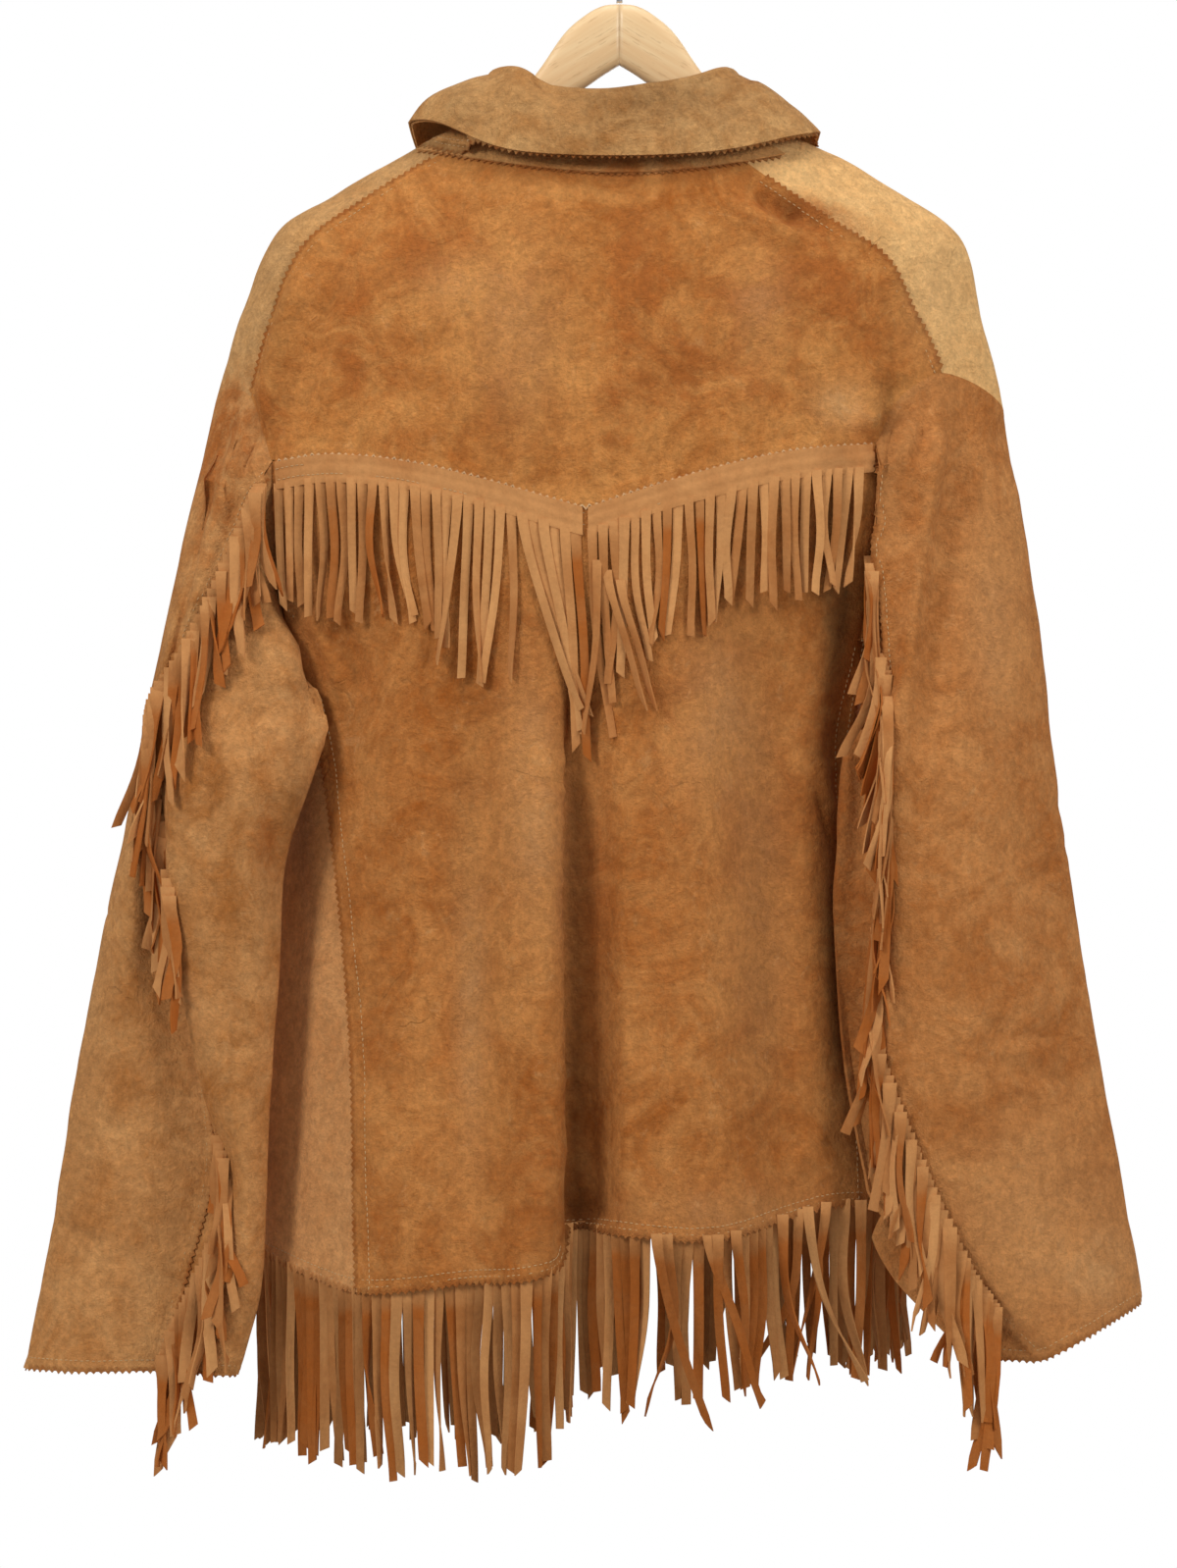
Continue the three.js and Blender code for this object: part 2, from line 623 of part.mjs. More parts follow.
const grids = {};
const addGrid = (name, material, surface, columns, levels, outward) => {
  grids[name] = { material, columns, levels, grid: gridOf(surface, columns, levels, outward) };
};

const backYokeColumns = [-0.37, ...mirrored(halfBack).map(bodyToYoke), 0.28, 0.315];
addGrid('back_yoke', 'yoke', yokeSurface, backYokeColumns, yokeLevels, -1);
addGrid('back_lower', 'back', bodySurface, backColumns, bodyLevels, -1);

for (const [side, sign] of [['left', -1], ['right', 1]]) {
  const frontBody = spread(1 - FRONT_GAP, FRONT_CORNER, 5).map((s) => s * sign);
  const under = underarmColumns.slice(2, -1).toReversed().map((s) => s * sign);
  addGrid(`front_${side}`, 'front', bodySurface, [...frontBody, ...under], bodyLevels, sign);

  const overShoulder =
    side === 'left'
      ? [-0.627, -0.563, -0.5, -0.435, -0.37]
      : [0.627, 0.563, 0.5, 0.438, 0.3767, 0.315];
  const frontYoke = [...frontBody.map(bodyToYoke), ...overShoulder];
  addGrid(`front_yoke_${side}`, 'front', yokeSurface, frontYoke, yokeLevels, sign);

  const overTurns = overShoulder.map((s) => {
    const size = Math.abs(s);
    const corner = side === 'left' ? 0.31 : 0.25;
    return size > 0.5
      ? mix(FRONT_SEAM_AT, 1, (0.69 - size) / 0.19) - 1
      : (SEAM_AT * (0.5 - size)) / (0.5 - corner);
  });
  if (side === 'right') overTurns.push((SEAM_AT * (0.5 - 0.28)) / 0.25);
  const upper = [FRONT_SEAM_AT - 1, ...overTurns, SEAM_AT];
  addGrid(`sleeve_upper_${side}`, 'sleeve', sleeveSurface(side), upper, sleeveLevels, sign);
  const below = spread(SEAM_AT, FRONT_SEAM_AT, UNDERARM_STEPS);
  addGrid(`sleeve_under_${side}`, 'sleeve', sleeveSurface(side), below, sleeveLevels, sign);
}
shareFacings(Object.values(grids).map((entry) => entry.grid));

const jacket = new THREE.Group();
jacket.name = 'fringed_jacket';
const add = (name, geometry, material) => {
  geometry.computeVertexNormals();
  const mesh = new THREE.Mesh(geometry, material);
  mesh.name = name;
  jacket.add(mesh);
  return mesh;
};

for (const [name, { material, grid }] of Object.entries(grids)) {
  const side = name.split('_').at(-1);
  const corner = [
    'back_lower',
    `front_${side}`,
    `sleeve_upper_${side}`,
    'back_yoke',
    `front_yoke_${side}`,
  ];
  const wall = wallOf(grid);
  const tight = name.startsWith('sleeve_under');
  add(name, tight ? trimmed(wall, corner.map((other) => grids[other].grid)) : wall, leathers[material]);
}

// ---------------------------------------------------------------- collar and neck band
const COLLAR_FOLD = 4.5; // half the thickness of the collar where it turns over
const collarRows = [
  { name: 'neck seam', down: 0, out: 0, up: 2.4 },
  { name: 'stand', down: 0.8, out: -COLLAR_FOLD, up: -1 },
  { name: 'crown', down: 1, out: 0, up: 0 },
  { name: 'turn', down: 1, out: COLLAR_FOLD, up: -4 },
  { name: 'upper fall', down: 1.35, out: 3, up: 1 },
  { name: 'fall', down: 1.7, out: 3, up: 1 },
  { name: 'edge', down: 2, out: -1, up: 0 },
];
const collarSurface = (s, row) => {
  const { down, out, up } = collarRows[row];
  const [neck, fold, edge] = [yokePoint(s, 0), ringPoint(collarFold, s), ringPoint(collarEdge, s)];
  const point = down <= 1 ? neck.lerp(fold, down) : fold.lerp(edge, down - 1);
  return point.add(new THREE.Vector3(Math.sin(Math.PI * s) * out, -Math.cos(Math.PI * s) * out, up));
};
const collarColumns = spread(-COLLAR_END, COLLAR_END, 24);
const collarGrid = gridOf(collarSurface, collarColumns, Object.keys(collarRows), -1);
add('collar_under', wallOf(collarGrid), leathers.band);
add('collar_upper', wallOf(collarGrid, LEATHER + LAID_GAP), leathers.collar);

const bandPoint = (s, down) =>
  yokePoint(s, mix(NECK_BAND.top, NECK_BAND.middle + NECK_BAND.spread * s * s, down));
const bandLevels = spread(0, 1, 3);
for (const [name, from, to] of [
  ['neck_band_left', NECK_BAND.from, NECK_BAND.join],
  ['neck_band_right', NECK_BAND.join, NECK_BAND.to],
]) {
  const laid = gridOf(bandPoint, spread(from, to, 9), bandLevels, -1);
  add(name, wallOf(laid, LEATHER + LAID_GAP), leathers.band);
}

// ---------------------------------------------------------------- fringes
/** Strand length below the yoke seam at a place on the ring. */
const yokeReach = (s) => mix(YOKE_FRINGE.centre, YOKE_FRINGE.side, ease(Math.abs(s) / 0.2));

/** A fringe that lies on a panel of the body below its upper edge, on the panel's own columns. */
function laidFringe(name, from, to, reach) {
  const { columns, levels, grid } = grids[name];
  const chosen = columns.map((s, c) => ({ s, c })).filter(({ s }) => s >= from && s <= to);
  const rows = spread(0, 1, 4).map((t) =>
    chosen.map(({ s, c }) => {
      const drop = grid[0][c].point.z - grid.at(-1)[c].point.z;
      const v = mix(3, reach(s), t) / drop;
      const r = Math.max(0, levels.findLastIndex((level) => level <= v));
      const [above, below] = [grid[r][c], grid[r + 1][c]];
      const part = (v - levels[r]) / (levels[r + 1] - levels[r]);
      return {
        point: above.point.clone().lerp(below.point, part),
        facing: above.facing.clone().lerp(below.facing, part).normalize(),
      };
    }),
  );
  return wallOf(rows, LEATHER + LAID_GAP);
}
add('fringe_yoke_left', laidFringe('back_lower', -0.35, -0.002, yokeReach), leathers.fringe);
add('fringe_yoke_right', laidFringe('back_lower', 0.002, 0.35, yokeReach), leathers.fringe);
add('fringe_front_left', laidFringe('front_left', -1, -0.7, () => FRONT_FRINGE), leathers.fringe);
add('fringe_front_right', laidFringe('front_right', 0.7, 1, () => FRONT_FRINGE), leathers.fringe);

/** The hem fringe hangs straight down from the panels' lower edge. */
function hemFringe(columns, outward) {
  const surface = (s, t) => {
    const point = bodySurface(s, 1);
    point.z -= LAID_GAP + mix(HEM_FRINGE.left, HEM_FRINGE.right, ease(0.5 + s * 8)) * t;
    return point;
  };
  return wallOf(gridOf(surface, columns, [0, 0.5, 1], outward));
}
add('fringe_hem_back', hemFringe(backColumns, -1), leathers.fringe);
for (const [side, sign] of [['left', -1], ['right', 1]]) {
  add(`fringe_hem_front_${side}`, hemFringe(grids[`front_${side}`].columns, sign), leathers.fringe);
}

for (const [name, rows] of Object.entries(sleeveFringeRows)) {
  const sheet = (out) =>
    rows.map((row) => {
      const across = spread(row.left, row.right, 2);
      return across.map((x) => new THREE.Vector3(x, row.y - out, row.z));
    });
  add(name, solidBetween(sheet(3), sheet(0)), leathers.fringe);
}

// ---------------------------------------------------------------- hanger
/** Half of the hanger: sections with eased corners, joined from the middle outwards. */
function hangerArm(sign) {
  const SIDES = 12;
  const rings = hangerRows.map(({ x, top, bottom, depth }) => {
    const [centre, height] = [(top + bottom) / 2, (top - bottom) / 2];
    return Array.from({ length: SIDES }, (_, i) => {
      const angle = ((i + 0.5) / SIDES) * 2 * Math.PI;
      const squared = (n) => Math.sign(n) * Math.abs(n) ** 0.55;
      const out = (depth / 2) * squared(Math.cos(angle));
      return new THREE.Vector3(x * sign, out, centre + height * squared(Math.sin(angle)));
    });
  });
  return loft(rings);
}

/** A closed solid through rings of points, with a fan over each end. */
function loft(rings) {
  const sides = rings[0].length;
  const positions = rings.flat().flatMap((p) => p.toArray());
  const index = [];
  for (let r = 0; r < rings.length - 1; r += 1) {
    for (let i = 0; i < sides; i += 1) {
      const [a, b] = [r * sides + i, r * sides + ((i + 1) % sides)];
      index.push(a, b, b + sides, a, b + sides, a + sides);
    }
  }
  const last = (rings.length - 1) * sides;
  for (let i = 1; i < sides - 1; i += 1) {
    index.push(0, i + 1, i);
    index.push(last, last + i, last + i + 1);
  }
  const geometry = new THREE.BufferGeometry();
  geometry.setAttribute('position', new THREE.Float32BufferAttribute(positions, 3));
  geometry.setIndex(volumeOf(geometry, index) < 0 ? index.toReversed() : index);
  return geometry;
}
add('hanger_arm_left', hangerArm(-1), beech);
add('hanger_arm_right', hangerArm(1), beech);

/** The hook: a stem out of the wood, a swan neck, and an arc that ends past its widest point. */
function hook() {
  const reach = HOOK_RADIUS + HOOK_WIRE;
  const centre = HOOK_WIRE - reach;
  const stem = [-75.4, -64, -56].map((z) => new THREE.Vector3(0, 0, z));
  const neck = [new THREE.Vector3(5, 0, -47), new THREE.Vector3(15, 0, -38)];
  const arc = spread(-35, 215, 12).map((degrees) => {
    const angle = THREE.MathUtils.degToRad(degrees);
    return new THREE.Vector3(reach * Math.cos(angle), 0, centre + reach * Math.sin(angle));
  });
  const wire = new THREE.Shape().absarc(0, 0, HOOK_WIRE, 0, 2 * Math.PI);
  const path = new THREE.CatmullRomCurve3([...stem, ...neck, ...arc], false, 'centripetal');
  return new THREE.ExtrudeGeometry(wire, { extrudePath: path, steps: 56, curveSegments: 5 });
}
add('hanger_hook', hook(), steel);

export default jacket;
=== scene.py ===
"""A fringed buckskin jacket on a wooden hanger, seen from its back.

The leather panels, their pinked seams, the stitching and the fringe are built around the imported
part. Tables and forms are in millimetres, as the pattern is drawn, and meshes are in metres.
"""

import logging
import math
from dataclasses import dataclass, field
from enum import Enum
from typing import Callable, Mapping, Optional, Sequence

import bmesh
import bpy
import numpy as np
from mathutils import Matrix, Vector
from mathutils.bvhtree import BVHTree


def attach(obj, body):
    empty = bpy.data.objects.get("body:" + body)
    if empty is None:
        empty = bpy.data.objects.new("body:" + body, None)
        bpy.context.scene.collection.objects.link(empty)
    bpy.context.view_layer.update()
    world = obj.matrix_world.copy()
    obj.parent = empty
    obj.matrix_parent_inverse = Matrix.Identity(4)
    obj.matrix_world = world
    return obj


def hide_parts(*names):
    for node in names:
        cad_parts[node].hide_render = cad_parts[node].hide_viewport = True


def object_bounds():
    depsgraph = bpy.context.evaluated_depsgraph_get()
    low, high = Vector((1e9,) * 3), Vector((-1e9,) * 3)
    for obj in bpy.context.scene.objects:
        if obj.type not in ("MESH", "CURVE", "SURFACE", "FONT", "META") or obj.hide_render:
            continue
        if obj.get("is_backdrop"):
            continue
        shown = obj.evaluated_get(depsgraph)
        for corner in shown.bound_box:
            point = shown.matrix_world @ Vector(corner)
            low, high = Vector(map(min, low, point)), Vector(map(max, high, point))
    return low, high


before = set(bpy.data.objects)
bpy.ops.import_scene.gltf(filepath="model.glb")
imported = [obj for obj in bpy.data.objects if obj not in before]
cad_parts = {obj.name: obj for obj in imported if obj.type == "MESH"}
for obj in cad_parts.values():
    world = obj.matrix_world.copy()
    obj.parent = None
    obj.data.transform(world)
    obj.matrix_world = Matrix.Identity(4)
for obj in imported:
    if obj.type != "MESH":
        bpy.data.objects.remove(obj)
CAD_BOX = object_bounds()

log = logging.getLogger("jacket")

Array = np.ndarray
Colour = tuple[float, float, float]
Piece = bpy.types.Object
Mesh = bpy.types.Mesh
Material = bpy.types.Material
Socket = bpy.types.NodeSocket

MM = 0.001
LEATHER = 1.2  # thickness of a panel
FACE = 1.3  # outer face of a panel above the pattern's surface
CELL = 4.0  # size of a panel's cells
TOOTH = 4.4  # pitch of the pinking
TOOTH_DEPTH = 2.4
STITCH_PITCH = 3.4
STITCH_LENGTH = 2.5
STITCH_RADIUS = 0.34
STITCH_LIFT = 0.12  # height of a stitch's middle above the leather
STITCH_STRAY = 0.1  # how far a stitch strays from its place
STRIP_STITCHES = (5.0, 12.0)  # rows of stitching on the yoke fringe's uncut strip
BODY_CLEARANCE = 10.0  # gap between a sleeve and the body
RIM = 12.0  # how far in from a panel's edges its creases fade out
LUMPS = ((52.0, 3, 1.1), (23.0, 5, 0.5), (9.0, 8, 0.16))  # the leather's lumps: size, seed, height
NOISE_CELLS = 4096
CRISP_ANGLE = math.radians(42)
ROOT_BODY = "root"


class Side(Enum):
    """The left or the right of the jacket, as it is seen from behind."""

    LEFT = -1
    RIGHT = 1

    @property
    def word(self) -> str:
        """The side's name in pieces and nodes."""
        return self.name.lower()


# ------------------------------------------------------------------- numbers


def ease(t: Array) -> Array:
    """A smooth step from 0 to 1."""
    t = np.clip(t, 0.0, 1.0)
    return t * t * (3 - 2 * t)


def mix(a: Array, b: Array, t: Array) -> Array:
    """The value between two others."""
    return a + (b - a) * t


def units(ways: Array) -> Array:
    """Directions, each made one long."""
    return ways / np.maximum(np.linalg.norm(ways, axis=-1, keepdims=True), 1e-9)


class Table:
    """Rows of named columns, read smoothly along the first column."""

    def __init__(self, columns: str, *rows: Sequence[float]) -> None:
        """Keeps the rows.

        Args:
            columns: the columns' names, the key column first.
            rows: one row of numbers for each place along the key.
        """
        self.names = columns.split()
        self.rows = np.array(rows, dtype=float)

    @property
    def key(self) -> Array:
        """The places of the rows."""
        return self.rows[:, 0]

    def at(self, column: str, place: Array) -> Array:
        """Reads a column with a cubic through its rows.

        Args:
            column: the column's name.
            place: where to read it along the key.

        Returns:
            The column's values at those places.
        """
        key, value = self.key, self.rows[:, self.names.index(column)]
        count = len(key)
        before = np.maximum(np.arange(count) - 1, 0)
        after = np.minimum(np.arange(count) + 1, count - 1)
        slope = (value[after] - value[before]) / (key[after] - key[before])
        place = np.clip(np.asarray(place, dtype=float), key[0], key[-1])
        i = np.searchsorted(key[1:-1], place, side="left")
        span = key[i + 1] - key[i]
        t = (place - key[i]) / span
        t2, t3 = t * t, t * t * t
        return (
            (2 * t3 - 3 * t2 + 1) * value[i]
            + (t3 - 2 * t2 + t) * span * slope[i]
            + (3 * t2 - 2 * t3) * value[i + 1]
            + (t3 - t2) * span * slope[i + 1]
        )

    def row(self, place: Array) -> dict[str, Array]:
        """Every column but the key, by name."""
        return {column: self.at(column, place) for column in self.names[1:]}

    def points(self, place: Array) -> Array:
        """The x, y and z columns together."""
        return np.stack([self.at(axis, place) for axis in "xyz"], axis=-1)


def stretches(columns: str, *groups: Sequence[Sequence[float]]) -> tuple[Table, ...]:
    """Tables for the stretches of an outline, each of which ends at the next one's first row."""
    ends = [group[:1] for group in groups[1:]] + [()]
    return tuple(Table(columns, *group, *end) for group, end in zip(groups, ends))


def soft_noise(points: Array, scale: float, seed: int) -> Array:
    """Smooth value noise.

    Args:
        points: where to read it, in millimetres.
        scale: the size of one lump.
        seed: which noise.

    Returns:
        A number from -1 to 1 for each point.
    """
    table = np.random.default_rng(seed).uniform(-1, 1, NOISE_CELLS)
    place = points / scale
    base = np.floor(place).astype(int)
    part = ease(place - base)
    total = np.zeros(points.shape[:-1])
    for corner in np.ndindex(2, 2, 2):
        cell = base + np.array(corner)
        mark = (cell[..., 0] * 73 + cell[..., 1] * 179 + cell[..., 2] * 283) % NOISE_CELLS
        weight = np.prod(np.where(np.array(corner) == 1, part, 1 - part), axis=-1)
        total += table[mark] * weight
    return total


# ------------------------------------------------------------------- pattern


class Pattern:
    """The jacket's form: the yoke, the body and the sleeves as tubes that share their seams."""

    # Places on the body's ring: the armholes' corners, and the fronts' edges.
    BACK_CORNER = 0.36
    FRONT_CORNER = 0.64
    FRONT_EDGE = 0.988
    # Places on the yoke's ring: the same corners, the left shoulder seam and the neck band's ends.
    YOKE_BACK_CORNER = {Side.LEFT: 0.31, Side.RIGHT: 0.25}
    YOKE_FRONT_CORNER = 0.69
    LEFT_SHOULDER = -0.37
    BAND_SPAN = {Side.LEFT: (-0.44, -0.03), Side.RIGHT: (-0.03, 0.335)}
    BAND_EDGE_SPAN = {Side.LEFT: (-0.435, -0.034), Side.RIGHT: (-0.026, 0.33)}
    # Places round a sleeve: its fringed back seam and its front seam.
    SEAM_AT = 3 / 9
    FRONT_SEAM_AT = 8 / 9
    # Where the hem's pinked edges and its fringe end, on the body's ring.
    HEM_BACK = (-0.222, 0.343)
    HEM_FRONT = {Side.LEFT: -0.226, Side.RIGHT: 0.347}
    FRINGE_END = 0.985
    CHEST_FRINGE_START = 0.71
    ARMHOLE_FADE = 0.3
    REACH_OF_BODY = 45.0
    COLLAR_END = 0.93
    BAND_TOP = 0.01
    BAND_MIDDLE = 0.065
    BAND_SPREAD = 0.45

    YOKE = Table(
        "v left right back front zSide zBack zFront",
        (0.0, -85, 81, -42, 58, -143, -175, -221), (0.13, -121, 120, -57, 66, -164, -200, -250),
        (0.34, -170, 168, -66, 72, -191, -237, -284), (0.56, -212, 211, -72, 77, -221, -280, -314),
        (0.8, -234, 225, -77, 81, -273, -338, -342), (1.0, -248, 237, -80, 84, -322, -392, -362),
    )
    YOKE_EDGE = stretches(
        "s x y z",
        ((-1.0, -6, 84, -362), (-0.85, -91, 78, -358)),
        (
            (-0.69, -206, 46, -353), (-0.63, -224, 28, -331), (-0.5, -248, 0, -319),
            (-0.37, -226, -28, -322),
        ),
        ((-0.31, -213, -42, -362), (-0.25, -175, -55, -358), (-0.15, -115, -70, -366)),
        ((0.0, -21, -80, -392), (0.1, 41, -76, -372), (0.17, 101, -66, -357)),
        (
            (0.25, 157, -48, -351), (0.28, 171, -42, -323), (0.315, 197, -32, -307),
            (0.5, 237, 0, -328), (0.63, 210, 28, -342),
        ),
        ((0.69, 178, 46, -353), (0.85, 83, 78, -358), (1.0, 6, 84, -362)),
    )
    RIGHT_SHOULDER = Table("v s", (0, 0.24), (0.35, 0.272), (1, 0.315))
    UNDERARM = {
        Side.LEFT: Table(
            "s x y z",
            (0.36, -213, -42, -362), (0.43, -203, -20, -418), (0.5, -201, 12, -462),
            (0.57, -203, 34, -420), (0.64, -206, 46, -353),
        ),
        Side.RIGHT: Table(
            "s x y z",
            (0.36, 157, -48, -351), (0.43, 151, -24, -414), (0.5, 150, 12, -462),
            (0.57, 158, 34, -420), (0.64, 178, 46, -353),
        ),
    }
    BODY = Table(
        "v left right middle back front",
        (0.0, -205, 150, 24, 104, 60), (0.25, -205, 152, 26, 108, 58), (0.5, -210, 159, 26, 116, 56),
        (0.75, -217, 168, 25, 122, 54), (1.0, -222, 176, 25, 126, 52),
    )
    HEM = Table(
        "s z",
        (-1.0, -838), (-0.7, -842), (-0.4, -853), (-0.224, -867), (-0.12, -861), (-0.021, -851),
        (-0.0165, -829), (-0.013, -828.5), (0.0, -828), (0.03, -830), (0.12, -834), (0.22, -824),
        (0.31, -817), (0.5, -830), (1.0, -838),
    )
    SIDE_SEAM = {
        Side.LEFT: Table("v s", (0, 0.43), (0.35, 0.33), (0.7, 0.25), (1, 0.224)),
        Side.RIGHT: Table("v s", (0, 0.43), (0.4, 0.37), (1, 0.345)),
    }
    # Folds that run down the body: place and half width on the ring, and how far they stand out.
    FOLDS = Table(
        "s width top middle hem",
        (0.0, 0.026, 0, -14, -26), (-0.05, 0.035, 0, 6, 9), (-0.12, 0.04, -2, -6, -5),
        (-0.2, 0.06, 2, 6, 12), (0.1, 0.07, 3, 8, 10), (0.24, 0.06, -3, -12, -8),
        (-0.78, 0.08, 0, 4, 8), (0.78, 0.08, 0, 4, 8),
    )
    SLEEVE = {
        Side.LEFT: Table(
            "v z outer back ridge seam fold crest inner depth tilt",
            (0.0, -416, -265, -256, -244, -232, -222, -208, -196, 52, 0),
            (0.1, -464, -278, -268, -260, -254, -238, -211, -186, 70, 0),
            (0.17, -500, -285, -279, -275, -272, -252, -222, -178, 76, 0),
            (0.25, -542, -295, -289, -284, -281, -267, -229, -185, 76, 0),
            (0.35, -596, -306, -296, -286, -278, -273, -236, -203, 72, 0),
            (0.47, -659, -320, -301, -282, -268, -271, -240, -209, 66, 0),
            (0.62, -740, -335, -302, -271, -253, -256, -235, -214, 60, 0),
            (0.74, -800, -344, -307, -271, -249, -240, -228, -216, 56, 0),
            (0.86, -860, -356, -319, -286, -265, -248, -232, -220, 50, 0),
            (1.0, -921, -368, -334, -301, -280, -260, -245, -235, 44, 0),
        ),
        Side.RIGHT: Table(
            "v z outer back ridge seam fold crest inner depth tilt",
            (0.0, -416, 252, 221, 187, 160, 153, 146, 138, 56, 0),
            (0.1, -464, 259, 222, 182, 158, 152, 145, 138, 62, 0),
            (0.17, -500, 263, 222, 176, 162, 156, 148, 139, 66, 0),
            (0.25, -542, 268, 222, 171, 163, 156, 147, 138, 68, 0),
            (0.35, -596, 275, 223, 167, 161, 154, 144, 134, 70, 0),
            (0.47, -659, 284, 228, 169, 157, 151, 141, 131, 70, 0),
            (0.62, -728, 295, 234, 171, 155, 150, 142, 134, 68, 0),
            (0.74, -792, 306, 246, 188, 172, 164, 154, 145, 64, 0.05),
            (0.86, -852, 314, 264, 216, 200, 188, 175, 163, 58, 0.2),
            (1.0, -912, 322, 292, 269, 257, 243, 228, 216, 50, 0.5),
        ),
    }
    # How far out to the back each place of a sleeve section stands, as a share of its depth.
    STANCE = {
        Side.LEFT: {
            "outer": 0.1, "back": 0.56, "ridge": 0.46, "seam": 0.5, "fold": 0.78,
            "crest": 1.0, "inner": 0.84, "frontInner": 0.16, "frontOuter": -0.12,
        },
        Side.RIGHT: {
            "outer": 0.1, "back": 0.82, "ridge": 1.0, "seam": 0.84, "fold": 0.78,
            "crest": 0.74, "inner": 0.7, "frontInner": 0.22, "frontOuter": -0.12,
        },
    }
    COLLAR = Table(
        "row down out up",
        (0, 0, 0, 2.4), (1, 0.8, -4.5, -1), (2, 1, 0, 0), (3, 1, 4.5, -4),
        (4, 1.35, 3, 1), (5, 1.7, 3, 1), (6, 2, -1, 0),
    )
    COLLAR_FOLD = {
        "left": -76, "right": 68, "back": -47, "front": 60,
        "zSide": -121, "zBack": -131, "zFront": -205,
    }
    COLLAR_EDGE = {
        "left": -128, "right": 122, "back": -61, "front": 88,
        "zSide": -160, "zBack": -177, "zFront": -262,
    }

    @staticmethod
    def ring(sizes: Mapping[str, Array], s: Array) -> Array:
        """A point of a closed ring whose sides, back and front are given.

        Args:
            sizes: left, right, back, front, zSide, zBack and zFront.
            s: the place on the ring: -0.5 is its left, 0 its back and 0.5 its right.

        Returns:
            The points.
        """
        sine, cosine = np.sin(np.pi * s), np.cos(np.pi * s)
        far = np.where(cosine > 0, sizes["back"], sizes["front"])
        low = np.where(cosine > 0, sizes["zBack"], sizes["zFront"])
        x = mix(sizes["left"], sizes["right"], (1 + sine) / 2)
        z = mix(sizes["zSide"], low, np.abs(cosine) ** 1.5)
        return np.stack(np.broadcast_arrays(x, far * np.abs(cosine), z), axis=-1)

    def yoke_edge(self, s: Array) -> Array:
        """The yoke's lower edge, all round."""
        s = np.asarray(s, dtype=float)
        edge = self.YOKE_EDGE[-1].points(s)
        for table in reversed(self.YOKE_EDGE[:-1]):
            edge = np.where((s <= table.key[-1])[..., None], table.points(s), edge)
        return edge

    def yoke(self, s: Array, v: Array) -> Array:
        """A point of the yoke between the neck seam, v 0, and the yoke seam, v 1."""
        s, v = np.broadcast_arrays(np.asarray(s, dtype=float), np.asarray(v, dtype=float))
        lowest, level = self.YOKE.row(1.0), self.YOKE.row(v)
        stray = self.yoke_edge(s) - self.ring(lowest, s)
        return self.ring(level, s) + stray * (ease(v) * v)[..., None]

    def body_to_yoke(self, s: Array) -> Array:
        """The place on the yoke's ring that meets a place on the body's ring."""
        size, corners = np.abs(s), self.YOKE_BACK_CORNER
        corner = np.where(s < 0, corners[Side.LEFT], corners[Side.RIGHT])
        past = (size - self.FRONT_CORNER) / (1 - self.FRONT_CORNER)
        front = mix(self.YOKE_FRONT_CORNER, 1.0, past)
        place = np.where(size <= self.BACK_CORNER, size * corner / self.BACK_CORNER, front)
        return np.sign(s) * place

    def body_top(self, s: Array) -> Array:
        """The body's upper edge: the yoke seam, and the armholes' lower halves."""
        s = np.asarray(s, dtype=float)
        size = np.abs(s)
        under = np.where(
            (s < 0)[..., None],
            self.UNDERARM[Side.LEFT].points(size),
            self.UNDERARM[Side.RIGHT].points(size),
        )
        armhole = (size > self.BACK_CORNER) & (size < self.FRONT_CORNER)
        return np.where(armhole[..., None], under, self.yoke_edge(self.body_to_yoke(s)))

    def fold_depth(self, s: Array, v: Array) -> Array:
        """How far the body's folds stand out at a place."""
        total = 0.0
        for place, width, top, middle, hem in self.FOLDS.rows:
            off = (s - place) / width
            upper = mix(top, middle, ease(v * 2))
            lower = mix(middle, hem, ease(v * 2 - 1))
            total = total + np.where(v < 0.5, upper, lower) * np.exp(-off * off)
        return total

    def body_ring(self, s: Array, v: Array) -> Array:
        """The body's plain ring at a level, with its folds."""
        sine, cosine = np.sin(np.pi * s), np.cos(np.pi * s)
        depth = np.where(cosine > 0, self.BODY.at("back", v), self.BODY.at("front", v))
        stand = self.fold_depth(s, v) * ease(v * 4)
        x = mix(self.BODY.at("left", v), self.BODY.at("right", v), (1 + sine) / 2) + stand * sine
        y = self.BODY.at("middle", v) - (depth + stand) * cosine
        return np.stack(np.broadcast_arrays(x, y, np.zeros(np.shape(x))), axis=-1)

    def body(self, s: Array, v: Array) -> Array:
        """A point of the body between the yoke seam, v 0, and the hem, v 1."""
        s, v = np.broadcast_arrays(np.asarray(s, dtype=float), np.asarray(v, dtype=float))
        top = self.body_top(s)
        stray = top - self.body_ring(s, np.zeros_like(v))
        point = self.body_ring(s, v) + stray * (1 - ease(v / 0.45))[..., None]
        point[..., 2] = mix(top[..., 2], self.HEM.at("z", s), v)
        return point

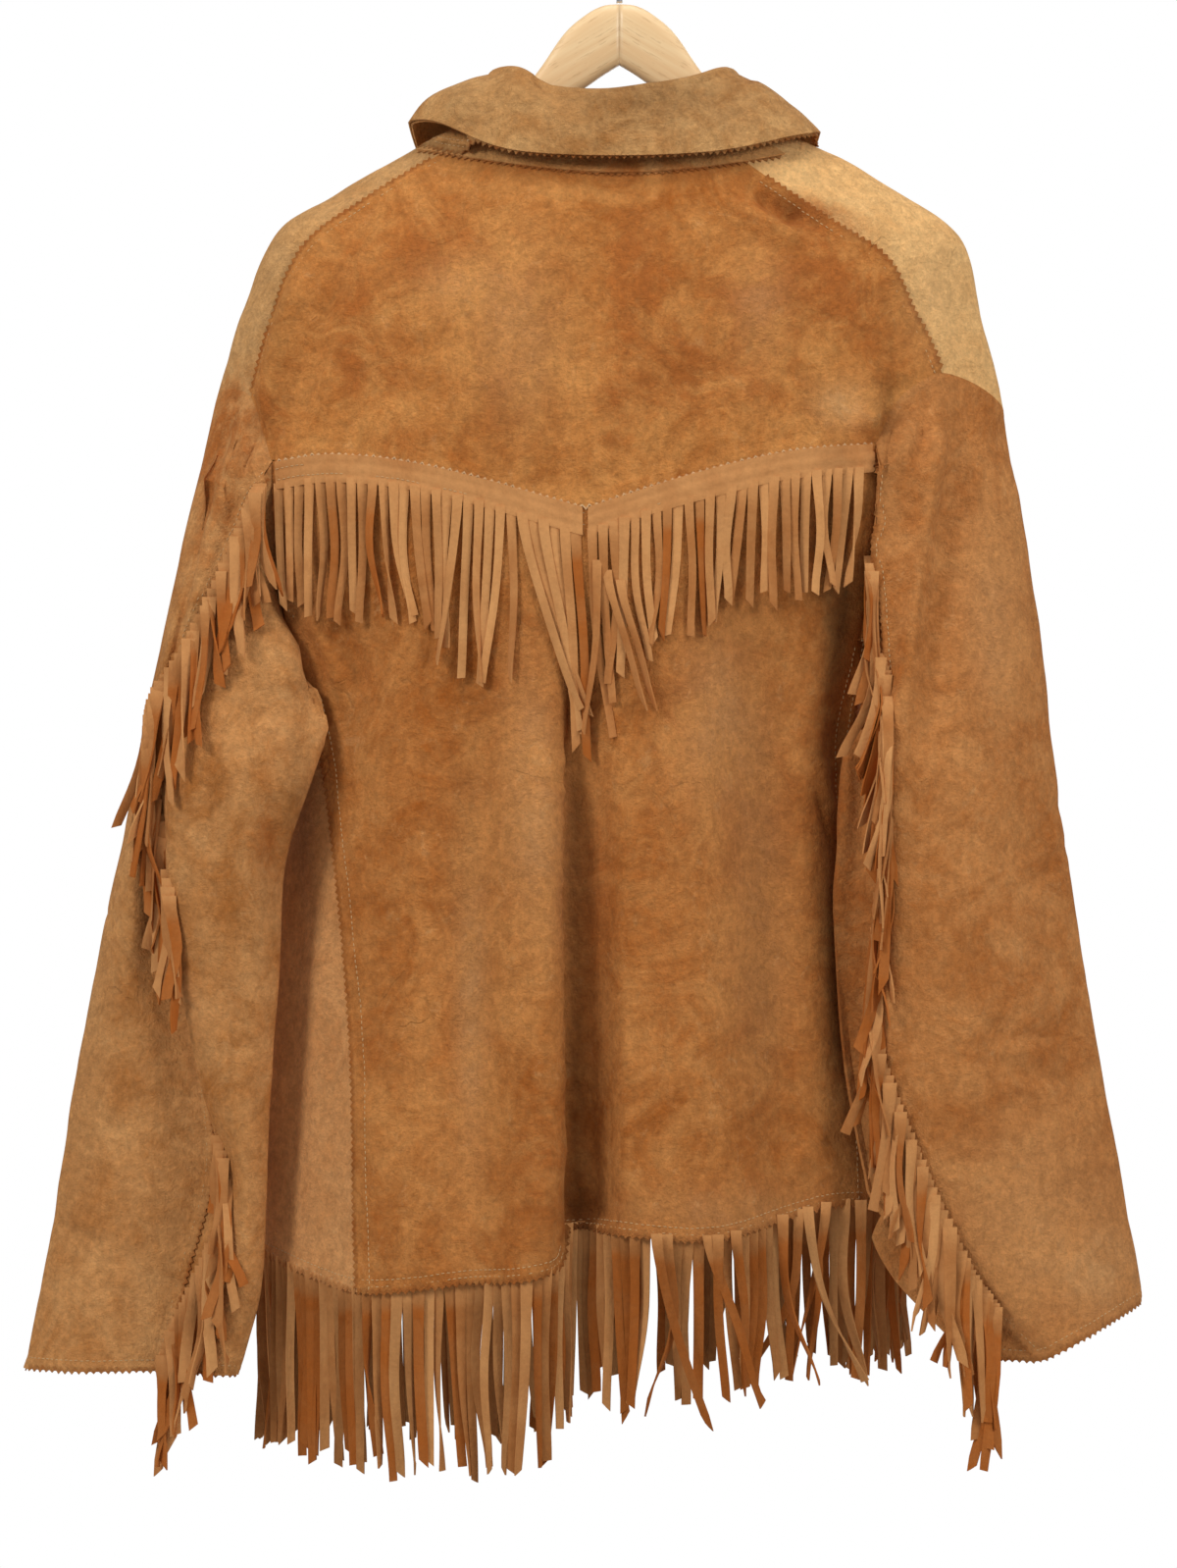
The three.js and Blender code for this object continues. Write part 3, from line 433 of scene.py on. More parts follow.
    def armhole(self, side: Side, turn: Array) -> Array:
        """The armhole: the yoke's edge over the shoulder, then the body's edge under the arm."""
        sign, corner = side.value, self.YOKE_BACK_CORNER[side]
        last = (turn - self.FRONT_SEAM_AT) / (1 - self.FRONT_SEAM_AT)
        under = (turn - self.SEAM_AT) / (self.FRONT_SEAM_AT - self.SEAM_AT)
        over = self.yoke_edge(sign * mix(0.5, corner, turn / self.SEAM_AT))
        front = self.yoke_edge(sign * mix(self.YOKE_FRONT_CORNER, 0.5, last))
        span = mix(self.BACK_CORNER + 1e-6, self.FRONT_CORNER - 1e-6, np.clip(under, 0, 1))
        below = self.body_top(sign * span)
        first, final = (turn <= self.SEAM_AT)[..., None], (turn >= self.FRONT_SEAM_AT)[..., None]
        return np.where(first, over, np.where(final, front, below))

    def section(self, side: Side, turn: Array, v: Array) -> Array:
        """A sleeve's sections: smooth closed curves through their named places.

        Args:
            side: which sleeve.
            turn: places round the sections, from 0 to 1.
            v: the sections' levels.

        Returns:
            The points, one row for each level.
        """
        level = self.SLEEVE[side].row(v)
        width = level["inner"] - level["outer"]
        level["frontInner"] = level["inner"] - width * 0.32
        level["frontOuter"] = level["outer"] + width * 0.3
        knots = []
        for name, share in self.STANCE[side].items():
            outside = np.maximum(0, np.abs(level[name]) - np.abs(level["seam"]))
            z = level["z"] + level["tilt"] * outside
            knots.append(np.stack([level[name], -level["depth"] * share, z], axis=-1))
        knots = np.stack(knots, axis=1)
        count = knots.shape[1]
        place = turn * count
        first = np.floor(place).astype(int)
        t = (place - first)[None, :, None]
        p0, p1, p2, p3 = (knots[:, (first + k) % count] for k in (-1, 0, 1, 2))
        span = lambda a, b: np.sqrt(np.linalg.norm(b - a, axis=-1, keepdims=True))
        d0, d1, d2 = span(p0, p1), span(p1, p2), span(p2, p3)
        m1 = ((p1 - p0) / d0 - (p2 - p0) / (d0 + d1) + (p2 - p1) / d1) * d1
        m2 = ((p2 - p1) / d1 - (p3 - p1) / (d1 + d2) + (p3 - p2) / d2) * d1
        a = 2 * p1 - 2 * p2 + m1 + m2
        b = -3 * p1 + 3 * p2 - 2 * m1 - m2
        return ((a * t + b) * t + m1) * t + p1

    def sleeve(self, side: Side, turn: Array, v: Array) -> Array:
        """A sleeve's points over a grid of places, clear of the body.

        Args:
            side: which sleeve.
            turn: places round the sleeve, one for each column.
            v: levels from the armhole, v 0, to the cuff, v 1, one for each row.

        Returns:
            The grid of points.
        """
        turn = np.mod(turn, 1.0)
        stray = self.armhole(side, turn) - self.section(side, turn, np.zeros(1))[0]
        fade = (1 - ease(v / self.ARMHOLE_FADE))[:, None, None]
        points = self.section(side, turn, v) + stray[None] * fade
        some_rows = np.unique(np.linspace(0, len(v) - 1, 36).astype(int))
        some_columns = np.unique(np.linspace(0, len(turn) - 1, 24).astype(int))
        push = self.push_from_body(points[np.ix_(some_rows, some_columns)], side)
        push[0] = 0
        whole = np.empty_like(points)
        columns = np.arange(len(turn))
        for axis in range(3):
            across = np.stack([np.interp(columns, some_columns, row) for row in push[..., axis]])
            for c in columns:
                whole[:, c, axis] = np.interp(np.arange(len(v)), some_rows, across[:, c])
        return points + whole

    def push_from_body(self, points: Array, side: Side) -> Array:
        """How far a sleeve's points have to move to stand clear of the body's wall."""
        s = np.linspace(0.16, 0.8, 65) * side.value
        top, hem = self.body_top(s)[:, 2], self.HEM.at("z", s)
        v = (top - points[..., None, 2]) / (top - hem)
        outline = self.body(np.broadcast_to(s, v.shape), np.clip(v, 0, 1))[..., :2]
        there = (v >= 0) & (v <= 1)
        start, way = outline[..., :-1, :], np.diff(outline, axis=-2)
        off = points[..., None, :2] - start
        reached = np.clip((off * way).sum(-1) / np.maximum((way * way).sum(-1), 1e-9), 0, 1)
        distance = np.linalg.norm(off - way * reached[..., None], axis=-1)
        distance = np.where(there[..., :-1] & there[..., 1:], distance, np.inf)
        best = np.argmin(distance, axis=-1)[..., None, None]
        way = np.take_along_axis(way, best, axis=-2)[..., 0, :]
        off = np.take_along_axis(off, best, axis=-2)[..., 0, :]
        square = np.stack([way[..., 1], -way[..., 0]], axis=-1)
        square *= side.value / np.maximum(np.linalg.norm(square, axis=-1, keepdims=True), 1e-9)
        square = np.where(square[..., 1:] > 0, np.array([side.value, 0.0]), square)
        shift = np.clip(BODY_CLEARANCE - (off * square).sum(-1), 0, None)
        shift = np.where(distance.min(axis=-1) < self.REACH_OF_BODY, shift, 0)
        return np.concatenate([square * shift[..., None], np.zeros(shift.shape + (1,))], axis=-1)

    def collar(self, s: Array, row: Array) -> Array:
        """The collar, from the neck seam, row 0, over its fold, row 2, to its edge, row 6."""
        down, out, up = (self.COLLAR.at(c, row)[..., None] for c in ("down", "out", "up"))
        fold, edge = self.ring(self.COLLAR_FOLD, s), self.ring(self.COLLAR_EDGE, s)
        neck, fold, edge = np.broadcast_arrays(self.yoke(s, 0.0), fold, edge)
        point = np.where(down <= 1, mix(neck, fold, down), mix(fold, edge, down - 1))
        away = np.stack([np.sin(np.pi * s), -np.cos(np.pi * s), np.zeros(np.shape(s))], axis=-1)
        return point + away * out + np.array([0, 0, 1.0]) * up

    def band_level(self, s: Array, down: Array) -> Array:
        """The neck band's level on the yoke, from its upper edge, 0, to its pinked edge, 1."""
        return mix(self.BAND_TOP, self.BAND_MIDDLE + self.BAND_SPREAD * s * s, down)

    def front_span(self, side: Side, start: float, end: float) -> tuple[float, float]:
        """A stretch of one front's ring, from left to right.

        Args:
            side: which front.
            start: the place nearer the side seam, with its sign.
            end: the place nearer the front edge, without its sign.

        Returns:
            The two places.
        """
        return (-end, start) if side is Side.LEFT else (start, end)

    def side_seam(self, side: Side, v: Array) -> Array:
        """The side seam's place on the body's ring."""
        return side.value * self.SIDE_SEAM[side].at("s", v)

    def shoulder(self, side: Side, v: Array) -> Array:
        """The shoulder seam's place on the yoke's ring."""
        if side is Side.LEFT:
            return np.full(np.shape(v), self.LEFT_SHOULDER)
        return self.RIGHT_SHOULDER.at("s", v)


PATTERN = Pattern()


# ------------------------------------------------------------------- finishes


class Amount:
    """A number on a node's socket, which takes part in ordinary arithmetic."""

    def __init__(self, graph: "Graph", socket: Socket) -> None:
        """Wraps a socket of a graph."""
        self.graph = graph
        self.socket = socket

    def __add__(self, other: "Term") -> "Amount":
        """The sum."""
        return self.graph.math("ADD", self, other)

    __radd__ = __add__

    def __sub__(self, other: "Term") -> "Amount":
        """The difference."""
        return self.graph.math("SUBTRACT", self, other)

    def __rsub__(self, other: "Term") -> "Amount":
        """The difference, the other way round."""
        return self.graph.math("SUBTRACT", other, self)

    def __mul__(self, other: "Term") -> "Amount":
        """The product."""
        return self.graph.math("MULTIPLY", self, other)

    __rmul__ = __mul__

    def ramp(self, low: float, high: float) -> "Amount":
        """A smooth step from 0 at one value to 1 at another."""
        node = self.graph.node(
            "ShaderNodeMapRange",
            {"interpolation_type": "SMOOTHSTEP"},
            {"Value": self, "From Min": low, "From Max": high},
        )
        return Amount(self.graph, node.outputs["Result"])


Term = Amount | float


class Graph:
    """A material's nodes, built in Python expressions."""

    def __init__(self, name: str) -> None:
        """Starts a material with a bare surface."""
        self.material = bpy.data.materials.new(name)
        self.material.use_nodes = True
        self.tree = self.material.node_tree
        self.tree.nodes.clear()
        self.surface = self.node("ShaderNodeBsdfPrincipled")
        output = self.node("ShaderNodeOutputMaterial")
        self.tree.links.new(self.surface.outputs["BSDF"], output.inputs["Surface"])
        self.place = self.node("ShaderNodeTexCoord").outputs["Object"]

    def node(
        self,
        kind: str,
        settings: Optional[Mapping[str, object]] = None,
        inputs: Optional[Mapping[object, object]] = None,
    ) -> bpy.types.Node:
        """Adds a node.

        Args:
            kind: the node's type.
            settings: its own settings, which are set first.
            inputs: values or links for its sockets, by name or number.

        Returns:
            The node.
        """
        made = self.tree.nodes.new(kind)
        for key, value in (settings or {}).items():
            setattr(made, key, value)
        for key, value in (inputs or {}).items():
            self.feed(made.inputs[key], value)
        return made

    def feed(self, socket: Socket, value: object) -> None:
        """Links or sets a socket."""
        if isinstance(value, Amount):
            self.tree.links.new(value.socket, socket)
        elif isinstance(value, Socket):
            self.tree.links.new(value, socket)
        elif isinstance(value, tuple) and len(value) == 3 and socket.type == "RGBA":
            socket.default_value = (*value, 1.0)
        else:
            socket.default_value = value

    def math(self, operation: str, first: Term, second: Term) -> Amount:
        """A Math node on two terms."""
        made = self.node("ShaderNodeMath", {"operation": operation}, {0: first, 1: second})
        return Amount(self, made.outputs[0])

    def stretched(self, scale: Sequence[float]) -> Socket:
        """The piece's own coordinates, scaled along each axis."""
        settings = {"operation": "MULTIPLY"}
        return self.node("ShaderNodeVectorMath", settings, {0: self.place, 1: scale}).outputs[0]

    def noise(
        self,
        scale: float,
        detail: float = 3.0,
        roughness: float = 0.55,
        distortion: float = 0.0,
        place: Optional[Socket] = None,
    ) -> Amount:
        """Noise from 0 to 1, lumps per metre given by its scale."""
        values = {
            "Vector": place or self.place, "Scale": scale, "Detail": detail,
            "Roughness": roughness, "Distortion": distortion,
        }
        return Amount(self, self.node("ShaderNodeTexNoise", None, values).outputs["Fac"])

    def attribute(self, name: str) -> Amount:
        """A number that the mesh carries."""
        made = self.node("ShaderNodeAttribute", {"attribute_name": name})
        return Amount(self, made.outputs["Fac"])

    def blend(self, factor: Term, first: object, second: object) -> Socket:
        """A colour between two others."""
        settings = {"data_type": "RGBA", "blend_type": "MIX", "clamp_factor": True}
        return self.node("ShaderNodeMix", settings, {0: factor, 6: first, 7: second}).outputs[2]

    def scaled(self, colour: Socket, factor: Term) -> Socket:
        """A colour made lighter or darker."""
        made = self.node("ShaderNodeVectorMath", {"operation": "SCALE"}, {0: colour, "Scale": factor})
        return made.outputs[0]

    def bump(self, height: Amount, distance: float, strength: float) -> None:
        """Gives the surface its relief, in metres."""
        values = {"Height": height, "Distance": distance, "Strength": strength}
        self.feed(self.surface.inputs["Normal"], self.node("ShaderNodeBump", None, values).outputs[0])

    def set(self, **values: object) -> None:
        """Sets or links the surface's own sockets, named with spaces as underscores."""
        for name, value in values.items():
            self.feed(self.surface.inputs[name.replace("_", " ")], value)


@dataclass(frozen=True)
class Buckskin:
    """Brain-tanned, smoked buckskin: cloudy tan with a soft nap, rust staining, fine creases and
    painted shade.
    """

    name: str
    light: Colour
    deep: Colour
    rust: Colour = (0.43, 0.13, 0.025)
    pale: Colour = (0.82, 0.5, 0.22)
    clouds: float = 1.0
    creases: float = 1.0

    def make(self) -> Material:
        """Builds the leather's material."""
        g = Graph(self.name)
        cloud = g.noise(6.5, 4.0, 0.6, 1.2).ramp(0.38, 0.64)
        smear = g.noise(17.0, 8.0, 0.72, 1.6).ramp(0.37, 0.65)
        blotch = g.noise(48.0, 6.0, 0.72, 0.8).ramp(0.36, 0.66)
        speck = g.noise(170.0, 3.0, 0.7).ramp(0.3, 0.7)
        grain = g.noise(430.0, 4.0, 0.75).ramp(0.28, 0.72)
        nap = g.noise(1.0, 4.0, 0.65, 0.5, g.stretched((170.0, 170.0, 38.0))).ramp(0.3, 0.7)
        scuff = g.noise(70.0, 6.0, 0.75, 0.8).ramp(0.56, 0.74)
        warp = g.node(
            "ShaderNodeTexNoise", None, {"Vector": g.place, "Scale": 22.0, "Detail": 3.0}
        ).outputs["Color"]
        bent = g.node(
            "ShaderNodeVectorMath",
            {"operation": "MULTIPLY_ADD"},
            {0: warp, 1: (0.05, 0.05, 0.05), 2: g.place},
        ).outputs[0]
        cracks = g.node(
            "ShaderNodeTexVoronoi",
            {"feature": "DISTANCE_TO_EDGE"},
            {"Vector": bent, "Scale": 30.0, "Randomness": 1.0},
        ).outputs["Distance"]
        line = (1.0 - Amount(g, cracks).ramp(0.002, 0.03)) * g.noise(15.0, 3.0).ramp(0.58, 0.74)
        mottle = cloud * 0.36 + smear * 0.5 + blotch * 0.32 - 0.06
        colour = g.blend(mottle * self.clouds, self.light, self.deep)
        colour = g.blend(scuff * 0.25, colour, self.pale)
        rust = g.attribute("rust")
        broken = rust * (0.35 + smear * 0.65 + blotch * 0.4) + speck * 0.12 - 0.1
        colour = g.blend(broken.ramp(0.0, 1.0) * 0.9, colour, self.rust)
        pale = g.attribute("pale")
        colour = g.blend(pale * (0.15 + smear * 0.45 + blotch * 0.35), colour, self.pale)
        tone = 0.66 + grain * 0.22 + speck * 0.24 + nap * 0.08 + blotch * 0.06
        tone = tone - line * (0.16 * self.creases)
        # Painted shade: the mesh's shade attribute darkens the leather in folds, gaps and on pinked
        # teeth.
        colour = g.scaled(colour, tone * (1.0 - g.attribute("shade") * 0.6))
        colour = g.blend(g.attribute("raw") * 0.85, colour, (0.9, 0.66, 0.38))
        height = grain * 0.5 + nap * 0.2 + speck * 0.5 + blotch * 0.7 - line * (0.6 * self.creases)
        g.set(Base_Color=colour, Roughness=0.76 + grain * 0.18, Specular_IOR_Level=0.16)
        g.bump(height, 0.0012, 0.8)
        return g.material


@dataclass(frozen=True)
class FringeLeather:
    """Cut strands: tan on the flesh side, orange-brown on the grain side, each a little different."""

    name: str
    light: Colour
    deep: Colour
    grain_side: Colour

    def make(self) -> Material:
        """Builds the strands' material, which reads each strand's own tone."""
        g = Graph(self.name)
        tone = g.attribute("tone")
        fine = g.noise(360.0, 4.0, 0.7)
        nap = g.noise(1.0, 3.0, 0.6, 0.2, g.stretched((260.0, 260.0, 40.0)))
        blotch = g.noise(36.0, 4.0, 0.62, 0.5).ramp(0.36, 0.66)
        colour = g.blend(tone.ramp(0.0, 0.62) * 0.75 + blotch * 0.25, self.light, self.deep)
        colour = g.blend(tone.ramp(0.6, 0.85) * (0.7 + blotch * 0.3), colour, self.grain_side)
        colour = g.blend(g.attribute("rust") * (0.4 + blotch * 0.5), colour, self.grain_side)
        # Painted shade: the strands' shade attribute darkens them.
        colour = g.scaled(colour, 0.7 + fine * 0.3 + nap * 0.2 - g.attribute("shade") * 0.4)
        g.set(Base_Color=colour, Roughness=0.76 + fine * 0.2, Specular_IOR_Level=0.12)
        g.bump(fine * 0.6 + nap * 0.6 + blotch * 0.5, 0.001, 0.7)
        return g.material


@dataclass(frozen=True)
class Thread:
    """Waxed cotton thread."""

    name: str = "sewing thread"
    colour: Colour = (0.66, 0.43, 0.19)

    def make(self) -> Material:
        """Builds the thread's material."""
        g = Graph(self.name)
        ply = g.noise(1600.0, 2.0)
        g.set(Base_Color=g.scaled(g.blend(ply, self.colour, (0.5, 0.3, 0.12)), 0.8 + ply * 0.4))
        g.set(Roughness=0.55 + ply * 0.2, Sheen_Weight=0.2)
        g.bump(ply, 0.0003, 0.5)
        return g.material


@dataclass(frozen=True)
class Beech:
    """Pale varnished wood, its grain along each arm of the hanger."""

    name: str = "varnished beech"
    light: Colour = (0.93, 0.68, 0.38)
    dark: Colour = (0.80, 0.50, 0.24)
    slope: float = math.radians(31)

    def make(self) -> Material:
        """Builds the wood's material."""
        g = Graph(self.name)
        parts = g.node("ShaderNodeSeparateXYZ", None, {0: g.place}).outputs
        out = g.math("ABSOLUTE", Amount(g, parts[0]), 0.0)
        up, depth = Amount(g, parts[2]), Amount(g, parts[1])
        along = out * math.cos(self.slope) - up * math.sin(self.slope)
        across = out * math.sin(self.slope) + up * math.cos(self.slope)
        wood = g.node(
            "ShaderNodeCombineXYZ", None, {0: along * 7.0, 1: across * 150.0, 2: depth * 60.0}
        )
        fibres = g.noise(1.0, 4.0, 0.6, 0.3, wood.outputs[0])
        flecks_at = g.node(
            "ShaderNodeCombineXYZ", None, {0: along * 90.0, 1: across * 900.0, 2: depth * 500.0}
        )
        flecks = g.noise(1.0, 2.0, 0.6, 0.0, flecks_at.outputs[0]).ramp(0.58, 0.72)
        colour = g.blend(fibres.ramp(0.3, 0.72) * 0.7, self.light, self.dark)
        colour = g.blend(flecks * 0.35, colour, (0.45, 0.24, 0.1))
        g.set(Base_Color=colour, Roughness=0.34 + fibres * 0.16, Coat_Weight=0.25 + fibres * 0.1)
        g.set(Coat_Roughness=0.25, Specular_IOR_Level=0.4)
        g.bump(fibres * 0.5 + flecks * 0.3, 0.0004, 0.35)
        return g.material


@dataclass(frozen=True)
class SteelWire:
    """Bright plated wire."""

    name: str = "plated wire"

    def make(self) -> Material:
        """Builds the wire's material."""
        g = Graph(self.name)
        draw = g.noise(1.0, 3.0, 0.6, 0.0, g.stretched((90.0, 90.0, 1400.0)))
        g.set(Base_Color=g.scaled(g.blend(draw, (0.72, 0.72, 0.74), (0.6, 0.6, 0.63)), 1.0))
        g.set(Metallic=1.0, Roughness=0.2 + draw * 0.16)
        g.bump(draw, 0.0002, 0.25)
        return g.material


class Finish(Enum):
    """The jacket's finishes, each with the record's slot that it belongs to."""

    YOKE = ("buckskin_yoke", Buckskin("yoke buckskin", (0.67, 0.285, 0.076), (0.40, 0.118, 0.018)))
    BACK = ("buckskin_back", Buckskin("back buckskin", (0.63, 0.262, 0.072), (0.39, 0.112, 0.017)))
    FRONT = (
        "buckskin_front",
        Buckskin("front buckskin", (0.74, 0.36, 0.135), (0.58, 0.25, 0.082), clouds=0.9),
    )
    SHOULDER = (
        "buckskin_front",
        Buckskin("shoulder buckskin", (0.66, 0.36, 0.14), (0.5, 0.235, 0.07), clouds=0.8),
    )
    # Painted light: a paler copy of the shoulder leather for the right shoulder, which the top light
    # catches.
    SHOULDER_PALE = (
        "buckskin_front",
        Buckskin("pale shoulder buckskin", (0.9, 0.54, 0.22), (0.74, 0.38, 0.13), clouds=0.8),
    )
    SLEEVE = ("buckskin_sleeve", Buckskin("sleeve buckskin", (0.69, 0.335, 0.118), (0.44, 0.16, 0.036)))
    SLEEVE_WARM = (
        "buckskin_sleeve",
        Buckskin("right sleeve buckskin", (0.64, 0.275, 0.085), (0.43, 0.138, 0.028)),
    )
    COLLAR = ("buckskin_collar", Buckskin("collar buckskin", (0.66, 0.36, 0.135), (0.40, 0.165, 0.042)))
    BAND = ("buckskin_band", Buckskin("neck band buckskin", (0.72, 0.365, 0.13), (0.6, 0.275, 0.083)))
    FRINGE = (
        "buckskin_fringe",
        FringeLeather(
            "fringe buckskin", (0.72, 0.35, 0.128), (0.44, 0.165, 0.046), (0.45, 0.125, 0.02)
        ),
    )
    THREAD = (None, Thread())
    WOOD = ("beech", Beech())
    WIRE = ("steel_wire", SteelWire())

    def __init__(self, slot: Optional[str], recipe: object) -> None:
        """Keeps the record's slot and the recipe."""
        self.slot = slot
        self.recipe = recipe

    @property
    def material(self) -> Material:
        """The finish's material, made the first time that it is asked for."""
        return bpy.data.materials.get(self.recipe.name) or self.recipe.make()


# The right shoulder takes the paler copy, which is painted light.
SHOULDER_FINISH = {Side.LEFT: Finish.SHOULDER, Side.RIGHT: Finish.SHOULDER_PALE}
SLEEVE_FINISH = {Side.LEFT: Finish.SLEEVE, Side.RIGHT: Finish.SLEEVE_WARM}


# ------------------------------------------------------------------- mesh tools


def put(name: str, mesh: Mesh, finish: Finish) -> Piece:
    """Places a mesh in the scene as a finished piece that rides on the jacket's body.

    Args:
        name: the piece's name.
        mesh: its mesh, in metres.
        finish: what it is made of.

    Returns:
        The object.
    """
    piece = bpy.data.objects.new(name, mesh)
    bpy.context.scene.collection.objects.link(piece)
    mesh.materials.append(finish.material)
    mesh.shade_smooth()
    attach(piece, ROOT_BODY)
    log.info("%s: %d points", name, len(mesh.vertices))
    return piece


def baked(bm: bmesh.types.BMesh, name: str) -> Mesh:
    """Turns a finished bmesh into a mesh of its own."""
    mesh = bpy.data.meshes.new(name)
    bm.to_mesh(mesh)
    bm.free()
    return mesh


def sheet_mesh(name: str, points: Array, flip: bool = False) -> Mesh:
    """A sheet laid over a grid of points.

    Args:
        name: the mesh's name.
        points: the points in millimetres, one row for each level and one column across.
        flip: whether the grid's own facing is turned round.

    Returns:
        The mesh, in metres, with its vertices in the order of the grid's rows.
    """
    rows, columns = points.shape[0] - 1, points.shape[1] - 1
    bm = bmesh.new()
    bmesh.ops.create_grid(bm, x_segments=columns, y_segments=rows, size=0.5)
    if flip:
        bmesh.ops.reverse_faces(bm, faces=bm.faces)
    mesh = baked(bm, name)
    flat = np.empty(len(mesh.vertices) * 3)
    mesh.vertices.foreach_get("co", flat)
    flat = flat.reshape(-1, 3)
    column = np.rint((flat[:, 0] + 0.5) * columns).astype(int)
    row = np.rint((flat[:, 1] + 0.5) * rows).astype(int)
    mesh.vertices.foreach_set("co", (points[row, column] * MM).ravel())
    place = mesh.attributes.new("place", "INT", "POINT")
    place.data.foreach_set("value", (row * (columns + 1) + column).astype(np.int32))
    mesh.update()
    return mesh


def paint(mesh: Mesh, name: str, values: Array) -> None:
    """Gives a sheet's vertices a number from a grid of numbers."""
    order = np.empty(len(mesh.vertices), dtype=np.int32)
    mesh.attributes["place"].data.foreach_get("value", order)
    layer = mesh.attributes.new(name, "FLOAT", "POINT")
    layer.data.foreach_set("value", values.ravel()[order].astype(np.float32))


def thicken(piece: Piece, thickness: float = LEATHER) -> None:
    """Gives a sheet its thickness, inwards from its outer face."""
    wall = piece.modifiers.new("thickness", "SOLIDIFY")
    wall.thickness = thickness * MM
    wall.offset = -1
    wall.use_rim = True


def harden(pieces: Sequence[Piece]) -> None:
    """Makes the pieces' thickness part of their meshes, and keeps their cut edges crisp."""
    depsgraph = bpy.context.evaluated_depsgraph_get()
    for piece in pieces:
        if piece.modifiers:
            mesh = bpy.data.meshes.new_from_object(piece.evaluated_get(depsgraph))
            piece.modifiers.clear()
            piece.data = mesh
            mesh.name = piece.name
            mesh.set_sharp_from_angle(angle=CRISP_ANGLE)


def facings(points: Array, outward: float) -> Array:
    """Which way a grid of points faces at each of them."""
    across = np.gradient(points, axis=1)
    down = np.gradient(points, axis=0)
    return units(np.cross(across, down) * outward)


def resampled(path: Array, step: float) -> Array:
    """A path with its points an even step apart."""
    lengths = np.r_[0, np.cumsum(np.linalg.norm(np.diff(path, axis=0), axis=1))]
    count = max(2, int(round(lengths[-1] / step)) + 1)
    places = np.linspace(0, lengths[-1], count)
    return np.stack([np.interp(places, lengths, path[:, axis]) for axis in range(3)], axis=-1)


class Ground:
    """The leather that something lies on, which can be felt from a point or from behind."""

    def __init__(self, pieces: Sequence[Piece]) -> None:
        """Gathers the pieces' outer faces."""
        vertices: list[Vector] = []
        faces: list[tuple[int, ...]] = []
        for piece in pieces:
            start = len(vertices)
            vertices += [v.co.copy() for v in piece.data.vertices]
            faces += [tuple(start + i for i in p.vertices) for p in piece.data.polygons]
        self.tree = BVHTree.FromPolygons(vertices, faces)

    def nearest(self, points: Array) -> tuple[Array, Array]:
        """The nearest places on the leather.

        Args:
            points: points in millimetres.

        Returns:
            The places and the ways that the leather faces there.
        """
        places, normals = np.empty_like(points), np.empty_like(points)
        for i, point in enumerate(points * MM):
            place, normal, _, _ = self.tree.find_nearest(Vector(point))
            places[i], normals[i] = np.array(place) / MM, normal
        return places, normals

    def outermost(self, x: float, z: float, front: bool = False) -> Optional[float]:
        """Where the outermost leather stands along y, behind or in front, or None without any."""
        way = -1.0 if front else 1.0
        hit, _, _, _ = self.tree.ray_cast(Vector((x * MM, -way, z * MM)), Vector((0, way, 0)))
        return None if hit is None else hit.y / MM


# ------------------------------------------------------------------- marks on the leather


@dataclass(frozen=True)
class Crease:
    """A fold or a wrinkle: its line seen from behind, how wide it is and how far it stands out."""

    line: tuple[tuple[float, float], ...]
    width: float
    depth: float
    sharp: bool = False
    one_sided: bool = False

    def lift(self, points: Array) -> Array:
        """How far the crease moves each point out."""
        best = np.full(points.shape[:-1], np.inf)
        along = np.zeros(points.shape[:-1])
        beside = np.zeros(points.shape[:-1])
        knots = np.array(self.line)
        lengths = np.linalg.norm(np.diff(knots, axis=0), axis=1)
        starts = np.r_[0, np.cumsum(lengths)]
        flat = points[..., [0, 2]]
        for i, length in enumerate(lengths):
            way = knots[i + 1] - knots[i]
            t = np.clip(((flat - knots[i]) @ way) / length**2, 0, 1)
            distance = np.linalg.norm(flat - knots[i] - t[..., None] * way, axis=-1)
            nearer = distance < best
            best = np.where(nearer, distance, best)
            along = np.where(nearer, starts[i] + t * length, along)
            off = flat - knots[i]
            beside = np.where(nearer, (way[0] * off[..., 1] - way[1] * off[..., 0]) / length, beside)
        share = along / starts[-1]
        fade = ease(share * 4) * ease((1 - share) * 4)
        off = best / self.width
        profile = np.exp(-2.2 * off) if self.sharp else np.exp(-off * off)
        if self.one_sided:
            profile = np.exp(-off) * ease(beside / 2.5)
        return self.depth * profile * (0.15 + 0.85 * fade)


@dataclass(frozen=True)
class Bulge:
    """A stretch of leather that is drawn aside: where it is, how far it reaches and where it goes."""

    centre: tuple[float, float, float]
    reach: tuple[float, float, float]
    move: tuple[float, float, float]

    def drawn(self, points: Array) -> Array:
        """How far the bulge moves each point."""
        off = (points - np.array(self.centre)) / np.array(self.reach)
        return np.exp(-(off * off).sum(-1))[..., None] * np.array(self.move)


@dataclass(frozen=True)
class Patch:
    """A soft-edged patch of colour or of painted shade: where it is, how far it reaches and how it
    leans.
    """

    x: float
    z: float
    reach: float
    height: float
    strength: float = 1.0
    lean: float = 0.0

    def cover(self, points: Array) -> Array:
        """How strongly the patch covers each point."""
        angle = math.radians(self.lean)
        dx, dz = points[..., 0] - self.x, points[..., 2] - self.z
        u = (dx * math.cos(angle) + dz * math.sin(angle)) / self.reach
        w = (dz * math.cos(angle) - dx * math.sin(angle)) / self.height
        return self.strength * np.exp(-(u * u + w * w))


def stains(*rows: Sequence[float]) -> tuple[Patch, ...]:
    """Patches of rust, of paler colour or of painted shade, from rows of x, z, reach, height, strength
    and lean.
    """
    return tuple(Patch(*row) for row in rows)


